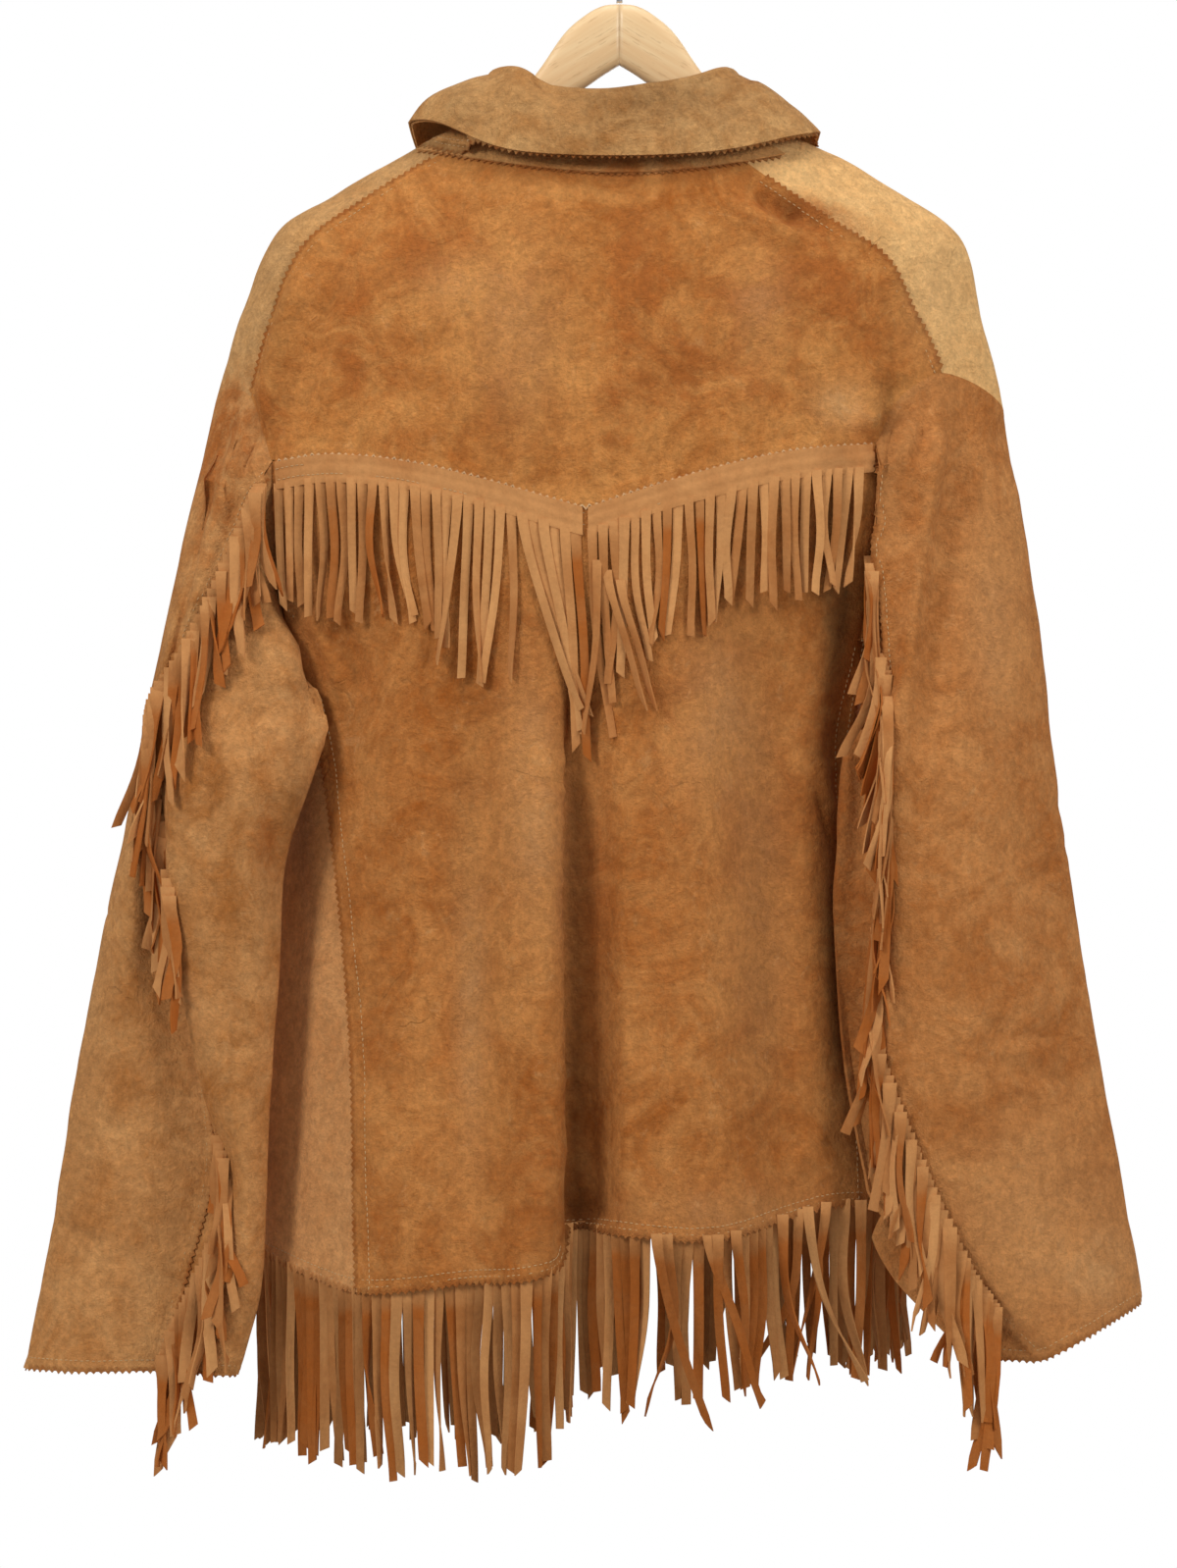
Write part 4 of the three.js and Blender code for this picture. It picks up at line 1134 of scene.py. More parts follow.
RUST = stains(
    (4, -262, 14, 70, 0.75), (-6, -330, 12, 36, 0.45), (-166, -250, 16, 60, 0.5),
    (-136, -300, 14, 66, 0.4), (70, -262, 30, 18, 0.6), (20, -330, 60, 16, 0.35),
    (-40, -184, 60, 9, 0.5), (40, -184, 50, 8, 0.6), (20, -250, 24, 34, 0.5),
    (55, -300, 40, 26, 0.55, 20), (34, -308, 20, 24, 0.5), (-112, -234, 26, 34, 0.8),
    (-161, -288, 18, 30, 0.45), (-159, -312, 26, 18, 0.4), (-213, -330, 16, 30, 0.85),
    (-113, -352, 42, 12, 0.5), (118, -258, 26, 30, 0.75, -25), (146, -268, 20, 42, 0.8, 30),
    (108, -212, 42, 15, 0.8, -14), (150, -340, 14, 24, 0.5), (94, -318, 20, 30, 0.4),
    (-46, -790, 18, 46, 0.8), (-79, -842, 22, 18, 0.5), (-150, -835, 16, 26, 0.4),
    (-157, -716, 26, 26, 0.5), (-150, -500, 22, 44, 0.3), (-14, -640, 14, 84, 0.5),
    (-30, -540, 20, 60, 0.35), (20, -580, 20, 110, 0.4), (130, -560, 22, 120, 0.75),
    (142, -700, 18, 80, 0.7), (30, -700, 22, 40, 0.45), (-216, -600, 11, 34, 0.85),
    (-205, -540, 26, 22, 0.25), (-250, -380, 22, 60, 0.7), (-240, -330, 14, 30, 0.5),
    (-300, -560, 22, 60, 0.3), (262, -560, 36, 60, 0.45, 12), (270, -720, 30, 46, 0.4),
    (240, -660, 26, 60, 0.35), (200, -380, 20, 46, 0.35), (100, -152, 42, 12, 0.75),
    (20, -168, 30, 8, 0.4),
)
PALE = stains(
    (136, -327, 16, 13, 0.8), (-62, -290, 26, 50, 0.35), (-100, -255, 22, 16, 0.35),
    (85, -270, 18, 34, 0.3), (60, -520, 26, 60, 0.35), (-90, -690, 10, 90, 0.45),
    (-55, -560, 18, 70, 0.35), (86, -640, 22, 90, 0.3), (60, -820, 60, 18, 0.3),
    (-330, -700, 16, 120, 0.3), (-196, -420, 16, 40, 0.3), (230, -460, 22, 60, 0.35),
    (196, -250, 20, 40, 0.5), (300, -860, 30, 30, 0.3), (260, -830, 60, 60, 0.35),
    (-40, -610, 20, 60, 0.2),
)
# Painted shade: COLLAR_SHADE darkens the collar's middle, and SHADE darkens the body's pleat, its fold
# valleys, the gap at the right armpit and the creases by the armholes and the right shoulder seam.
COLLAR_SHADE = stains((20, -138, 60, 22, 0.55), (-96, -140, 16, 18, 0.3))
SHADE = stains(
    (-214, -610, 12, 60, 0.25), (133, -430, 9, 56, 1.4), (-28, -600, 6, 90, 0.55),
    (-27, -760, 7, 110, 0.7), (-8, -740, 7, 110, 0.35), (-24, -830, 14, 30, 0.5),
    (128, -560, 12, 110, 0.4), (132, -720, 14, 90, 0.45), (-95, -600, 12, 90, 0.2),
    (84, -680, 12, 110, 0.25), (-208, -290, 9, 46, 0.3), (106, -210, 12, 6, 0.55, -30),
    (164, -330, 8, 34, 0.5), (-196, -560, 9, 60, 0.4),
)

# Creases of each panel: the line, its width, its depth, and whether it is sharp or one-sided.
CREASE_ROWS = {
    "back_yoke": (
        (((-190, -240), (-206, -290), (-216, -330), (-218, -352)), 10, 9.0),
        (((-176, -246), (-190, -300), (-198, -350)), 8, -6.0),
        (((118, -262), (111, -292), (99, -326)), 2.6, -1.5, True),
        (((-173, -280), (-146, -284)), 2.4, -1.2, True),
        (((-224, -325), (-189, -329)), 2.8, -1.4, True),
        (((164, -305), (167, -350), (158, -362)), 8, -7.0), (((150, -300), (153, -352)), 8, 3.6),
        (((82, -196), (96, -207), (112, -217)), 6, -9.0),
        (((70, -206), (92, -218), (116, -230)), 8, 4.5),
        (((176, -300), (160, -330), (150, -350)), 9, 5.0),
        (((12, -190), (28, -250), (30, -330)), 22, 3.0),
        (((-40, -200), (-58, -280), (-70, -350)), 24, 2.6),
        (((74, -200), (66, -270), (70, -340)), 18, -2.6),
        (((-110, -215), (-118, -290), (-140, -350)), 20, -2.4),
        (((-4, -195), (-14, -260), (-24, -330)), 14, -1.8), (((60, -330), (72, -350)), 2.6, -1.0, True),
        (((-66, -212), (-60, -226)), 2.2, -0.9, True), (((128, -236), (142, -256)), 2.4, -1.2, True),
    ),
    "back_lower": (
        (((-44, -510), (-46, -600), (-45, -720), (-44, -870)), 9, 7.0),
        (((-33, -500), (-36, -600), (-35, -740), (-34, -900)), 24, -16.0, False, True),
        (((2, -510), (3, -640), (4, -780), (4, -870)), 8, 4.0),
        (((-190, -450), (-178, -474), (-167, -506)), 6, 6.0),
        (((-178, -452), (-164, -480), (-156, -508)), 6, -4.5),
        (((-128, -500), (-124, -640), (-118, -780), (-120, -860)), 16, 3.4),
        (((-95, -490), (-92, -620), (-96, -760)), 12, -3.0),
        (((-60, -500), (-55, -640), (-58, -770)), 14, 2.2),
        (((36, -500), (42, -640), (40, -800)), 20, 3.2),
        (((74, -480), (82, -640), (84, -780)), 16, -3.4),
        (((104, -500), (112, -620), (112, -760)), 14, 3.0),
        (((134, -470), (140, -600), (142, -760)), 10, -5.0),
        (((122, -540), (128, -566), (140, -590)), 5, 3.0),
        (((118, -560), (130, -600)), 3.5, -2.6, True),
        (((-178, -540), (-160, -620), (-156, -700)), 12, 2.4),
        (((88, -664), (106, -668)), 2.4, -1.2, True),
        (((-100, -712), (-84, -700), (-66, -704)), 2.6, -1.1, True),
        (((30, -712), (44, -704)), 2.4, -1.0, True),
        (((16, -600), (20, -640), (36, -676)), 3.0, -1.2, True),
        (((-150, -590), (-130, -596)), 2.6, -1.0, True), (((130, -770), (96, -800)), 9, 2.6),
    ),
    "front_left": (
        (((-196, -560), (-200, -700), (-206, -850)), 9, -3.0),
        (((-180, -620), (-184, -740), (-190, -860)), 9, 2.4),
    ),
    "front_right": ((((150, -470), (154, -640), (160, -800)), 9, -3.0),),
    "front_yoke_left": (
        (((-196, -206), (-214, -250), (-226, -300)), 9, 2.4), (((-150, -182), (-186, -206)), 10, -1.8),
    ),
    "front_yoke_right": (
        (((128, -196), (160, -224), (190, -270), (204, -310)), 11, 2.4),
        (((116, -176), (150, -196)), 8, -2.6), (((200, -220), (214, -290)), 10, -1.6),
    ),
    "sleeve_upper_left": (
        (((-224, -324), (-234, -344), (-243, -378), (-250, -412), (-257, -456), (-266, -486)), 7, 6.5),
        (((-236, -330), (-250, -370), (-260, -412), (-268, -450)), 7, -6.0),
        (((-300, -600), (-288, -640), (-296, -700)), 9, -2.4),
        (((-318, -700), (-322, -780), (-330, -860)), 18, 2.4),
        (((-296, -740), (-300, -800), (-312, -880)), 14, -2.6),
        (((-340, -636), (-312, -640)), 2.8, -1.2, True), (((-350, -830), (-318, -842)), 5, -1.4),
        (((-300, -520), (-292, -560)), 8, -2.0),
    ),
    "sleeve_under_left": (
        (((-247, -526), (-250, -570), (-252, -622)), 5, -4.0),
        (((-228, -476), (-214, -486), (-200, -490)), 3.4, -2.6),
        (((-232, -500), (-216, -506), (-204, -502)), 3.2, -2.2),
        (((-226, -520), (-212, -516), (-202, -520)), 3.2, -2.0), (((-230, -480), (-214, -486)), 4, 2.2),
        (((-226, -560), (-222, -620), (-226, -700), (-232, -780)), 9, 3.4),
        (((-240, -560), (-238, -640), (-240, -720)), 8, -3.0), (((-212, -560), (-210, -620)), 5, -2.4),
        (((-250, -660), (-236, -700), (-228, -740)), 5, -2.0), (((-200, -600), (-212, -640)), 4, -1.8),
    ),
    "sleeve_upper_right": (
        (((199, -309), (192, -358), (182, -428), (176, -482), (169, -540), (166, -620)), 7, 8.0),
        (((212, -330), (200, -400), (192, -480), (184, -560)), 10, -5.0),
        (((274, -566), (260, -590), (244, -606)), 4.5, -3.2),
        (((278, -592), (264, -612), (250, -624)), 4.5, -2.8),
        (((232, -328), (246, -350), (256, -380)), 9, -3.0),
        (((236, -340), (240, -440), (252, -540)), 18, 2.4),
        (((220, -704), (246, -716), (276, -710)), 4.5, -2.2),
        (((226, -730), (252, -736), (280, -742)), 4.5, -2.0), (((232, -716), (258, -726)), 5, 1.8),
        (((268, -690), (276, -730), (290, -770)), 12, -2.2),
        (((190, -620), (204, -700), (226, -790)), 14, 2.6), (((176, -640), (184, -700)), 7, -2.4),
        (((250, -800), (284, -816)), 7, -1.4), (((240, -560), (262, -640), (276, -700)), 14, -2.0),
    ),
    "sleeve_under_right": (
        (((150, -470), (148, -560), (144, -640)), 6, -3.0), (((140, -520), (138, -600)), 5, 2.4),
    ),
    "collar_upper": (
        (((-80, -120), (-96, -140), (-110, -160)), 8, 2.2),
        (((-54, -124), (-42, -138), (-28, -146)), 6, -3.4), (((-66, -128), (-62, -150)), 9, 2.4),
        (((50, -126), (62, -150)), 8, -1.8), (((80, -126), (96, -146)), 8, 2.2),
        (((-32, -134), (34, -134)), 7, 1.4), (((-20, -158), (10, -162), (60, -156)), 6, -1.4),
    ),
}
CREASE_ROWS["collar_under"] = CREASE_ROWS["collar_upper"]
CREASES = {node: tuple(Crease(*row) for row in rows) for node, rows in CREASE_ROWS.items()}

COLLAR_BULGES = (
    Bulge((-112, -30, -160), (30, 70, 34), (-2, 0, 13)),
    Bulge((104, -30, -160), (30, 70, 30), (2, 0, 4)),
    Bulge((-16, -50, -130), (44, 60, 12), (0, 0, -7)),
    Bulge((-64, -50, -128), (14, 60, 18), (0, -2, 6)),
    Bulge((66, -50, -126), (16, 60, 18), (0, 0, 3)),
)
BULGES = {
    "collar_under": COLLAR_BULGES,
    "collar_upper": COLLAR_BULGES,
    "sleeve_under_left": (Bulge((-205, -45, -486), (30, 60, 34), (15, -12, 0)),),
    "front_left": (
        Bulge((-214, 20, -660), (26, 60, 90), (-7, 0, 0)),
        Bulge((-218, 20, -770), (26, 60, 60), (-5, 0, 0)),
    ),
}


def painted(mesh: Mesh, points: Array, collar: bool = False, wear_and_shade: float = 0.0) -> None:
    """Gives a sheet its rust, its paler patches and its painted shade, worked out where it is seen from
    behind.

    Args:
        mesh: the sheet.
        points: its grid of points.
        collar: whether it is the collar, which has its own patch of painted shade.
        wear_and_shade: how much the last rows, a cut edge, are darkened: that much worn rust, and four
            tenths of it as painted shade on the teeth.
    """
    weight = np.where(points[..., 1] < 30, 1.0, 0.3)
    rust = sum(patch.cover(points) for patch in RUST) * weight
    pale = sum(patch.cover(points) for patch in PALE) * weight
    # Painted shade, from the patches that stand for it.
    shade = sum(patch.cover(points) for patch in (COLLAR_SHADE if collar else SHADE)) * weight
    rust = rust * (0.25 if collar else 1.0)
    rust[-3:] += wear_and_shade
    # Painted shade on the teeth of the cut edge.
    shade[-3:] += wear_and_shade * 0.4
    paint(mesh, "rust", np.clip(rust, 0, 1))
    paint(mesh, "pale", np.clip(pale, 0, 1))
    paint(mesh, "shade", np.clip(shade, 0, 1))


# ------------------------------------------------------------------- panels

Surface = Callable[[Array, Array], Array]


@dataclass
class Panel:
    """One cut panel of leather."""

    node: str
    finish: Finish
    surface: Surface
    across: float
    down: float
    outward: float = -1.0
    face: float = FACE
    cell: float = CELL
    lumps: float = 1.0
    held: str = "hung"
    rests_on: tuple[str, ...] = ()
    trims: list[Piece] = field(default_factory=list)
    piece: Optional[Piece] = None
    points: Optional[Array] = None

    def build(self) -> Piece:
        """Cuts the panel, gives it its creases, its rust, its paler patches and its painted shade, and
        puts it in the node's place.
        """
        t = np.linspace(0, 1, int(self.across / self.cell) + 1)
        v = np.linspace(0, 1, int(self.down / self.cell) + 1)
        base = self.surface(t, v)
        base = base + sum((bulge.drawn(base) for bulge in BULGES.get(self.node, ())), np.zeros(3))
        facing = facings(base, self.outward)
        lift = self.face + self.relief(base, facing)
        self.points = base + facing * lift[..., None]
        name = self.node + "_leather"
        mesh = sheet_mesh(name, self.points, flip=self.outward < 0)
        painted(mesh, self.points, collar=self.node.startswith("collar"))
        self.piece = put(name, mesh, self.finish)
        thicken(self.piece)
        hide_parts(self.node)
        return self.piece

    def relief(self, base: Array, facing: Array) -> Array:
        """How far the leather stands out from the plain pattern.

        Args:
            base: the pattern's points.
            facing: which way they face.

        Returns:
            The lift of each point in millimetres.
        """
        rows, columns = base.shape[:2]
        r = np.minimum(np.arange(rows), np.arange(rows)[::-1])[:, None] * self.cell
        c = np.minimum(np.arange(columns), np.arange(columns)[::-1])[None] * self.cell
        rim = np.minimum(r, c)
        back = ease((0.3 - facing[..., 1]) / 0.5)
        creases = CREASES.get(self.node, ())
        lift = sum((crease.lift(base) for crease in creases), np.zeros((rows, columns)))
        wave = sum(soft_noise(base, size, seed) * height for size, seed, height in LUMPS)
        return (lift * back + wave * self.lumps) * ease(rim / RIM)

    def declare(self) -> None:
        """Says what cut of leather the panel is."""
        steps = lambda axis: np.linalg.norm(np.diff(self.points, axis=axis), axis=-1)
        width, length = steps(1).sum(1).max() * MM, steps(0).sum(0).max() * MM
        cells = np.cross(np.diff(self.points, axis=1)[:-1], np.diff(self.points, axis=0)[:, :-1])
        area = np.linalg.norm(cells, axis=-1).sum() * MM * MM
        round(float(min(max(area, 0.31 * width * length), width * length * 0.998)), 5)
        log.info("%s is cut %.0f x %.0f mm, %.4f m2", self.node, width / MM, length / MM, area)


def between(first: Array, last: Array, surface: Surface) -> Surface:
    """A panel's surface between two seams of a tube.

    Args:
        first: reads the first seam's place on the ring at each level.
        last: reads the last seam's.
        surface: the tube.

    Returns:
        A surface over 0 to 1 each way.
    """

    def stretch(t: Array, v: Array) -> Array:
        """The panel's points."""
        s = mix(first(v)[:, None], last(v)[:, None], t[None])
        return surface(s, v[:, None])

    return stretch


def fixed(place: float) -> Callable[[Array], Array]:
    """A seam that keeps its place on the ring."""
    return lambda v: np.full(np.shape(v), place)


# ------------------------------------------------------------------- seams


@dataclass
class Frame:
    """Places along a seam with the way along it, out of the leather and across it."""

    points: Array
    along: Array
    out: Array
    across: Array

    @staticmethod
    def of(path: Array, ground: Ground, step: float, side: float) -> "Frame":
        """Works out the frame of a seam.

        Args:
            path: the seam's points.
            ground: the leather that it lies on.
            step: the distance between places.
            side: which way across is, 1 or -1.

        Returns:
            The frame.
        """
        places, normals = ground.nearest(resampled(path, step))
        for _ in range(6):  # evens out the seam and what it lies on
            normals = Frame.settled(normals)
            places[1:-1] = (places[:-2] + 2 * places[1:-1] + places[2:]) / 4
        along = units(np.gradient(places, axis=0))
        across = Frame.settled(np.cross(along, normals) * side)
        return Frame(places, along, normals, across)

    @staticmethod
    def settled(ways: Array) -> Array:
        """Directions, each averaged with its neighbours."""
        padded = np.concatenate([ways[:1], ways, ways[-1:]])
        return units(padded[:-2] + 2 * padded[1:-1] + padded[2:])


@dataclass(frozen=True)
class Seam:
    """A pinked edge with its rows of stitches, lying over its neighbour or hanging free."""

    name: str
    panel: str
    finish: Finish
    path: Array
    side: float  # which way the teeth point, 1 or -1
    rows: tuple[float, ...]  # how far across from the edge each row of stitches lies
    free: bool = False
    raw: float = 0.0  # how much of the pale cut shows on the teeth


@dataclass
class PinkedEdge:
    """An edge of a panel cut with pinking shears."""

    seam: Seam
    ground: Ground
    width: float = 9.0

    def build(self) -> Piece:
        """Builds the strip along the edge, with its teeth."""
        seam, stand = self.seam, 0.5 if self.seam.free else 0.95
        line = Frame.of(seam.path, self.ground, TOOTH / 2, seam.side)
        teeth = np.where(np.arange(len(line.points)) % 2 == 0, TOOTH_DEPTH, 0.0)
        uneven = np.random.default_rng(len(seam.name)).uniform(-0.35, 0.35, len(teeth))
        offsets = (
            (np.full(len(teeth), -self.width), -0.25),
            (np.full(len(teeth), -self.width * 0.62), stand * 0.35),
            (np.full(len(teeth), -2.6), stand * 0.8),
            (teeth * 0.8 + uneven - 1.3, stand),
            (teeth + uneven - 0.5, stand + 0.05),
            (teeth + uneven, stand + 0.1),
        )
        rows = []
        for across, lift in offsets:
            row, out = line.points + line.across * across[:, None], line.out
            if across[0] <= 0 or not seam.free:
                row, out = self.ground.nearest(row)
                out = Frame.settled(Frame.settled(out))
            rows.append(row + out * lift)
        points = np.stack(rows)
        mesh = sheet_mesh(seam.name, points, flip=seam.side > 0)
        # The teeth are darkened with worn rust and painted shade, the yoke's pale raw edge only a
        # little.
        painted(mesh, points, seam.name.startswith("collar"), wear_and_shade=0.1 if seam.raw else 0.7)
        raw = np.zeros(points.shape[:2])
        raw[-2], raw[-1] = 0.6 * seam.raw, seam.raw
        paint(mesh, "raw", raw)
        piece = put(seam.name, mesh, seam.finish)
        thicken(piece, 0.8)
        return piece


@dataclass
class Stitching:
    """Rows of stitches along a seam."""

    seam: Seam
    ground: Ground

    def build(self) -> Piece:
        """Builds one small stitch after another along each row."""
        bm = bmesh.new()
        name = self.seam.name.replace("edge", "stitches")
        rng = np.random.default_rng(sum(map(ord, name)))
        line = Frame.of(self.seam.path, self.ground, STITCH_PITCH, self.seam.side)
        shape = Matrix.Diagonal((STITCH_LENGTH * MM / 2, STITCH_RADIUS * MM, STITCH_RADIUS * MM, 1.0))
        for offset in self.seam.rows:
            places, normals = self.ground.nearest(line.points + line.across * offset)
            for place, out, along in zip(places, normals, line.along):
                at = Vector((place + out * STITCH_LIFT + rng.normal(0, STITCH_STRAY, 3)) * MM)
                way, up = Vector(along + rng.normal(0, 0.05, 3)).normalized(), Vector(out)
                across = up.cross(way).normalized()
                turn = Matrix((way, across, way.cross(across))).transposed().to_4x4()
                place_it = Matrix.Translation(at) @ turn @ shape
                bmesh.ops.create_icosphere(bm, subdivisions=1, radius=1.0, matrix=place_it)
        return put(name, baked(bm, name), Finish.THREAD)


# ------------------------------------------------------------------- fringe


@dataclass
class Strand:
    """One cut strand: where it starts, how it hangs and how it is turned."""

    x: float
    y: float
    z: float
    length: float
    lean: float = 0.0
    width: float = 6.2
    tone: float = 0.3
    turn: float = 0.0
    twist: float = 0.0
    curl: float = 0.0
    lift: float = 1.0
    slant: float = 0.0

    def rows(self, ground: Optional[Ground], out: float) -> Array:
        """The strand's points, three across and a row for each step down.

        Args:
            ground: the leather that it may lie on.
            out: which way is out of the leather along y, -1 behind and 1 in front.

        Returns:
            The grid of points.
        """
        count = max(6, int(self.length / 7))
        grid = np.empty((count + 1, 3, 3))
        y = self.y
        for k in range(count + 1):
            t = k / count
            x = self.x + self.lean * t**1.4 + self.curl * math.sin(t * math.pi * 1.5) * t
            z = self.z - self.length * t
            angle = self.turn * min(1.0, t * 3) + self.twist * t**1.6
            half = self.width / 2 * (1.02 - 0.16 * min(1.0, t * 4) - 0.06 * t)
            if ground is not None:
                felt = ground.outermost(x, z, front=out > 0)
                if felt is not None:
                    y = out * max(out * y, out * felt + self.lift + abs(math.sin(angle)) * half)
            way = np.array([math.cos(angle), out * math.sin(angle), 0.0]) * half
            centre = np.array([x, y + out * 0.5 * math.sin(t * 5 + self.x), z])
            grid[k, 0] = centre - way
            grid[k, 1] = centre + np.array([0.0, out * 0.5, 0.0])
            grid[k, 2] = centre + way
        grid[0, :, 1] -= out
        grid[-1, 0, 2] += self.slant
        grid[-1, 2, 2] -= self.slant
        return grid


def clumped(places: Array, rng: np.random.Generator, pull: float) -> Array:
    """How far strands lean so that neighbours hang together.

    Args:
        places: where the strands start.
        rng: the random draws.
        pull: how much of the way to its neighbours each one leans.

    Returns:
        The lean of each strand.
    """
    lean = np.zeros(len(places))
    start = 0
    while start < len(places):
        stop = start + int(rng.integers(1, 6))
        group = places[start:stop]
        lean[start:stop] = (group.mean() - group) * pull * rng.uniform(0.4, 1.4) + rng.normal(0, 2.0)
        start = stop
    return lean


class Strands:
    """A set of strands that makes one piece."""

    def __init__(self, name: str, out: float = -1.0, seed: int = 1) -> None:
        """Starts an empty set."""
        self.name = name
        self.out = out
        self.rng = np.random.default_rng(seed)
        self.bm = bmesh.new()
        self.layers = {n: self.bm.verts.layers.float.new(n) for n in ("tone", "rust", "shade")}

    def add(self, strand: Strand, ground: Optional[Ground], shade: float = 0.0) -> None:
        """Cuts one strand.

        Args:
            strand: its shape.
            ground: the leather that it lies on.
            shade: how much painted shade darkens it.
        """
        rows = strand.rows(ground, self.out)
        count = len(rows) - 1
        made = bmesh.ops.create_grid(self.bm, x_segments=2, y_segments=count, size=0.5)["verts"]
        spare = 0.12 + 0.1 * self.rng.random()
        for vertex in made:
            column, row = round((vertex.co.x + 0.5) * 2), round((vertex.co.y + 0.5) * count)
            vertex.co = Vector(rows[row, column] * MM)
            down = min(1.0, row / count * strand.length / 22)
            vertex[self.layers["tone"]] = 0.25 + (strand.tone - 0.25) * down
            vertex[self.layers["rust"]] = spare * row / count
            vertex[self.layers["shade"]] = shade * down
        if self.out < 0:
            bmesh.ops.reverse_faces(self.bm, faces=list({f for v in made for f in v.link_faces}))

    def random_tone(self, orange: float) -> float:
        """A strand's tone: mostly the flesh side's tan, now and then the grain side's orange."""
        return self.rng.uniform(0.75, 1.0) if self.rng.random() < orange else self.rng.uniform(0.0, 0.6)

    def finish(self, node: str) -> Piece:
        """Turns the set into a piece, which stands for the node."""
        piece = put(self.name, baked(self.bm, self.name), Finish.FRINGE)
        thicken(piece, 1.1)
        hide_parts(node)
        return piece


@dataclass
class YokeFringe:
    """The fringe under the yoke: an uncut strip with two rows of stitching, and its strands."""

    pitch: float = 6.5
    strip: float = 17.0
    tips: Table = Table(
        "x z",
        (-212, -446), (-176, -457), (-137, -460), (-110, -472), (-90, -492), (-75, -499),
        (-64, -496), (-60, -512), (-45, -528), (-30, -538), (-21, -540), (-12, -514),
        (-4, -500), (7, -484), (24, -472), (52, -465), (64, -452), (93, -447), (124, -444), (148, -437),
    )
    lean: Table = Table(
        "x dx",
        (-212, 2), (-120, 3), (-90, -2), (-68, -8), (-62, 30), (-46, 26), (-24, 8), (-14, 2), (150, -2),
    )

    def strip_surface(self, first: float, last: float) -> Surface:
        """The strip's surface between two places on the body's ring."""

        def surface(t: Array, v: Array) -> Array:
            """The strip's points, from just above the seam down."""
            s = mix(first, last, t)[None]
            drop = PATTERN.body_top(s)[..., 2] - PATTERN.HEM.at("z", s)
            return PATTERN.body(s, (v[:, None] * self.strip + 0.5) / drop)

        return surface

    def hang(self, side: Side, strip: Ground, ground: Ground) -> Strands:
        """Hangs one half's strands.

        Args:
            side: which half.
            strip: the strip that they are cut from, with everything under it.
            ground: the leather that they lie on.

        Returns:
            The strands.
        """
        strands = Strands(f"fringe_yoke_{side.word}_strands", seed=11 + side.value)
        rng = strands.rng
        first, last = (-209.0, -24.0) if side is Side.LEFT else (-17.0, 149.0)
        edge = PATTERN.yoke_edge(np.linspace(-0.31, 0.25, 400))
        starts = np.arange(first, last, self.pitch)
        leans = clumped(starts, rng, 0.4)
        for k, x in enumerate(starts):
            z = float(np.interp(x, edge[:, 0], edge[:, 2])) - self.strip + 3
            tip = float(self.tips.at("z", x)) + rng.normal(0, 2.5)
            y = strip.outermost(x, z)
            if y is None:
                continue
            loose = rng.random() < 0.2
            strand = Strand(
                x, y - 0.2, z, z - tip,
                lean=float(self.lean.at("dx", x)) + leans[k] + rng.normal(0, 3.0) * loose,
                width=rng.uniform(5.6, 6.6),
                tone=strands.random_tone(0.04),
                turn=rng.normal(0, 0.05),
                twist=rng.normal(0, 0.5) * (2.4 if loose else 1),
                curl=rng.normal(0, 2.2),
                lift=1.5 + 0.9 * (k % 2) + rng.uniform(0, 0.5),
                slant=rng.normal(0, 1.6),
            )
            # Painted shade: a random darkening for the shade between strands.
            strands.add(strand, ground, shade=0.3 * rng.random() ** 2)
        if side is Side.RIGHT:
            for x, z, lean, length in ((-8, -430, 26, 84), (0, -436, 24, 78), (-14, -424, -6, 104)):
                y = ground.outermost(x, z) or -100
                loose = Strand(x, y - 4, z, length, lean, 5.6, 0.5, 0.3, 0.9, 3.0, 4.0, 1.5)
                strands.add(loose, ground)
        return strands


@dataclass
class HemFringe:
    """The fringe along the hem, hanging free below the pinked edge."""

    pitch: float = 6.4
    tips: Table = Table(
        "x z",
        (-222, -966), (-150, -969), (-100, -972), (-50, -970), (-38, -960), (-33, -932),
        (8, -935), (34, -935), (56, -931), (70, -922), (110, -920), (150, -919), (178, -912),
    )

    def hang(self, name: str, span: tuple[float, float], out: float, fade: float) -> Strands:
        """Hangs the strands along a stretch of the hem.

        Args:
            name: the piece's name.
            span: where the stretch starts and ends on the body's ring.
            out: which way is out of the leather.
            fade: how much painted shade darkens the strands, on the back and behind it.

        Returns:
            The strands.
        """
        strands = Strands(name, out, seed=len(name))
        rng = strands.rng
        hem = PATTERN.body(np.linspace(*span, 400), 1.0)
        starts = resampled(hem, self.pitch)
        leans = clumped(starts[:, 0], rng, 0.5)
        for k, (x, y, z) in enumerate(starts):
            tip = float(self.tips.at("z", x)) + rng.normal(0, 4.0)
            tangled = out < 0 and x > 16 and rng.random() < 0.34
            strand = Strand(
                x, y - math.copysign(1.3, y), z + 4, z + 4 - tip,
                lean=leans[k] if not tangled else rng.normal(4, 26),
                width=rng.uniform(6.2, 7.8),
                tone=strands.random_tone(0.8 if tangled else 0.3),
                turn=rng.normal(0, 0.25),
                twist=rng.normal(0, 0.8) * (2.2 if tangled else 1),
                curl=rng.normal(0, 2.4) * (4 if tangled else 1),
                slant=rng.normal(0, 2.0),
            )
            if tangled:
                strand.y -= 4 + 6 * rng.random()
            strand.y += rng.normal(0, 0.9)
            # Painted shade: the back's strands and the front strands behind the back get the given
            # shade, the rest a little, each with a random share for the shade between strands.
            shadowed = fade if out < 0 or y > 0 else 0.2
            strands.add(strand, None, shade=shadowed + 0.5 * rng.random())
        return strands


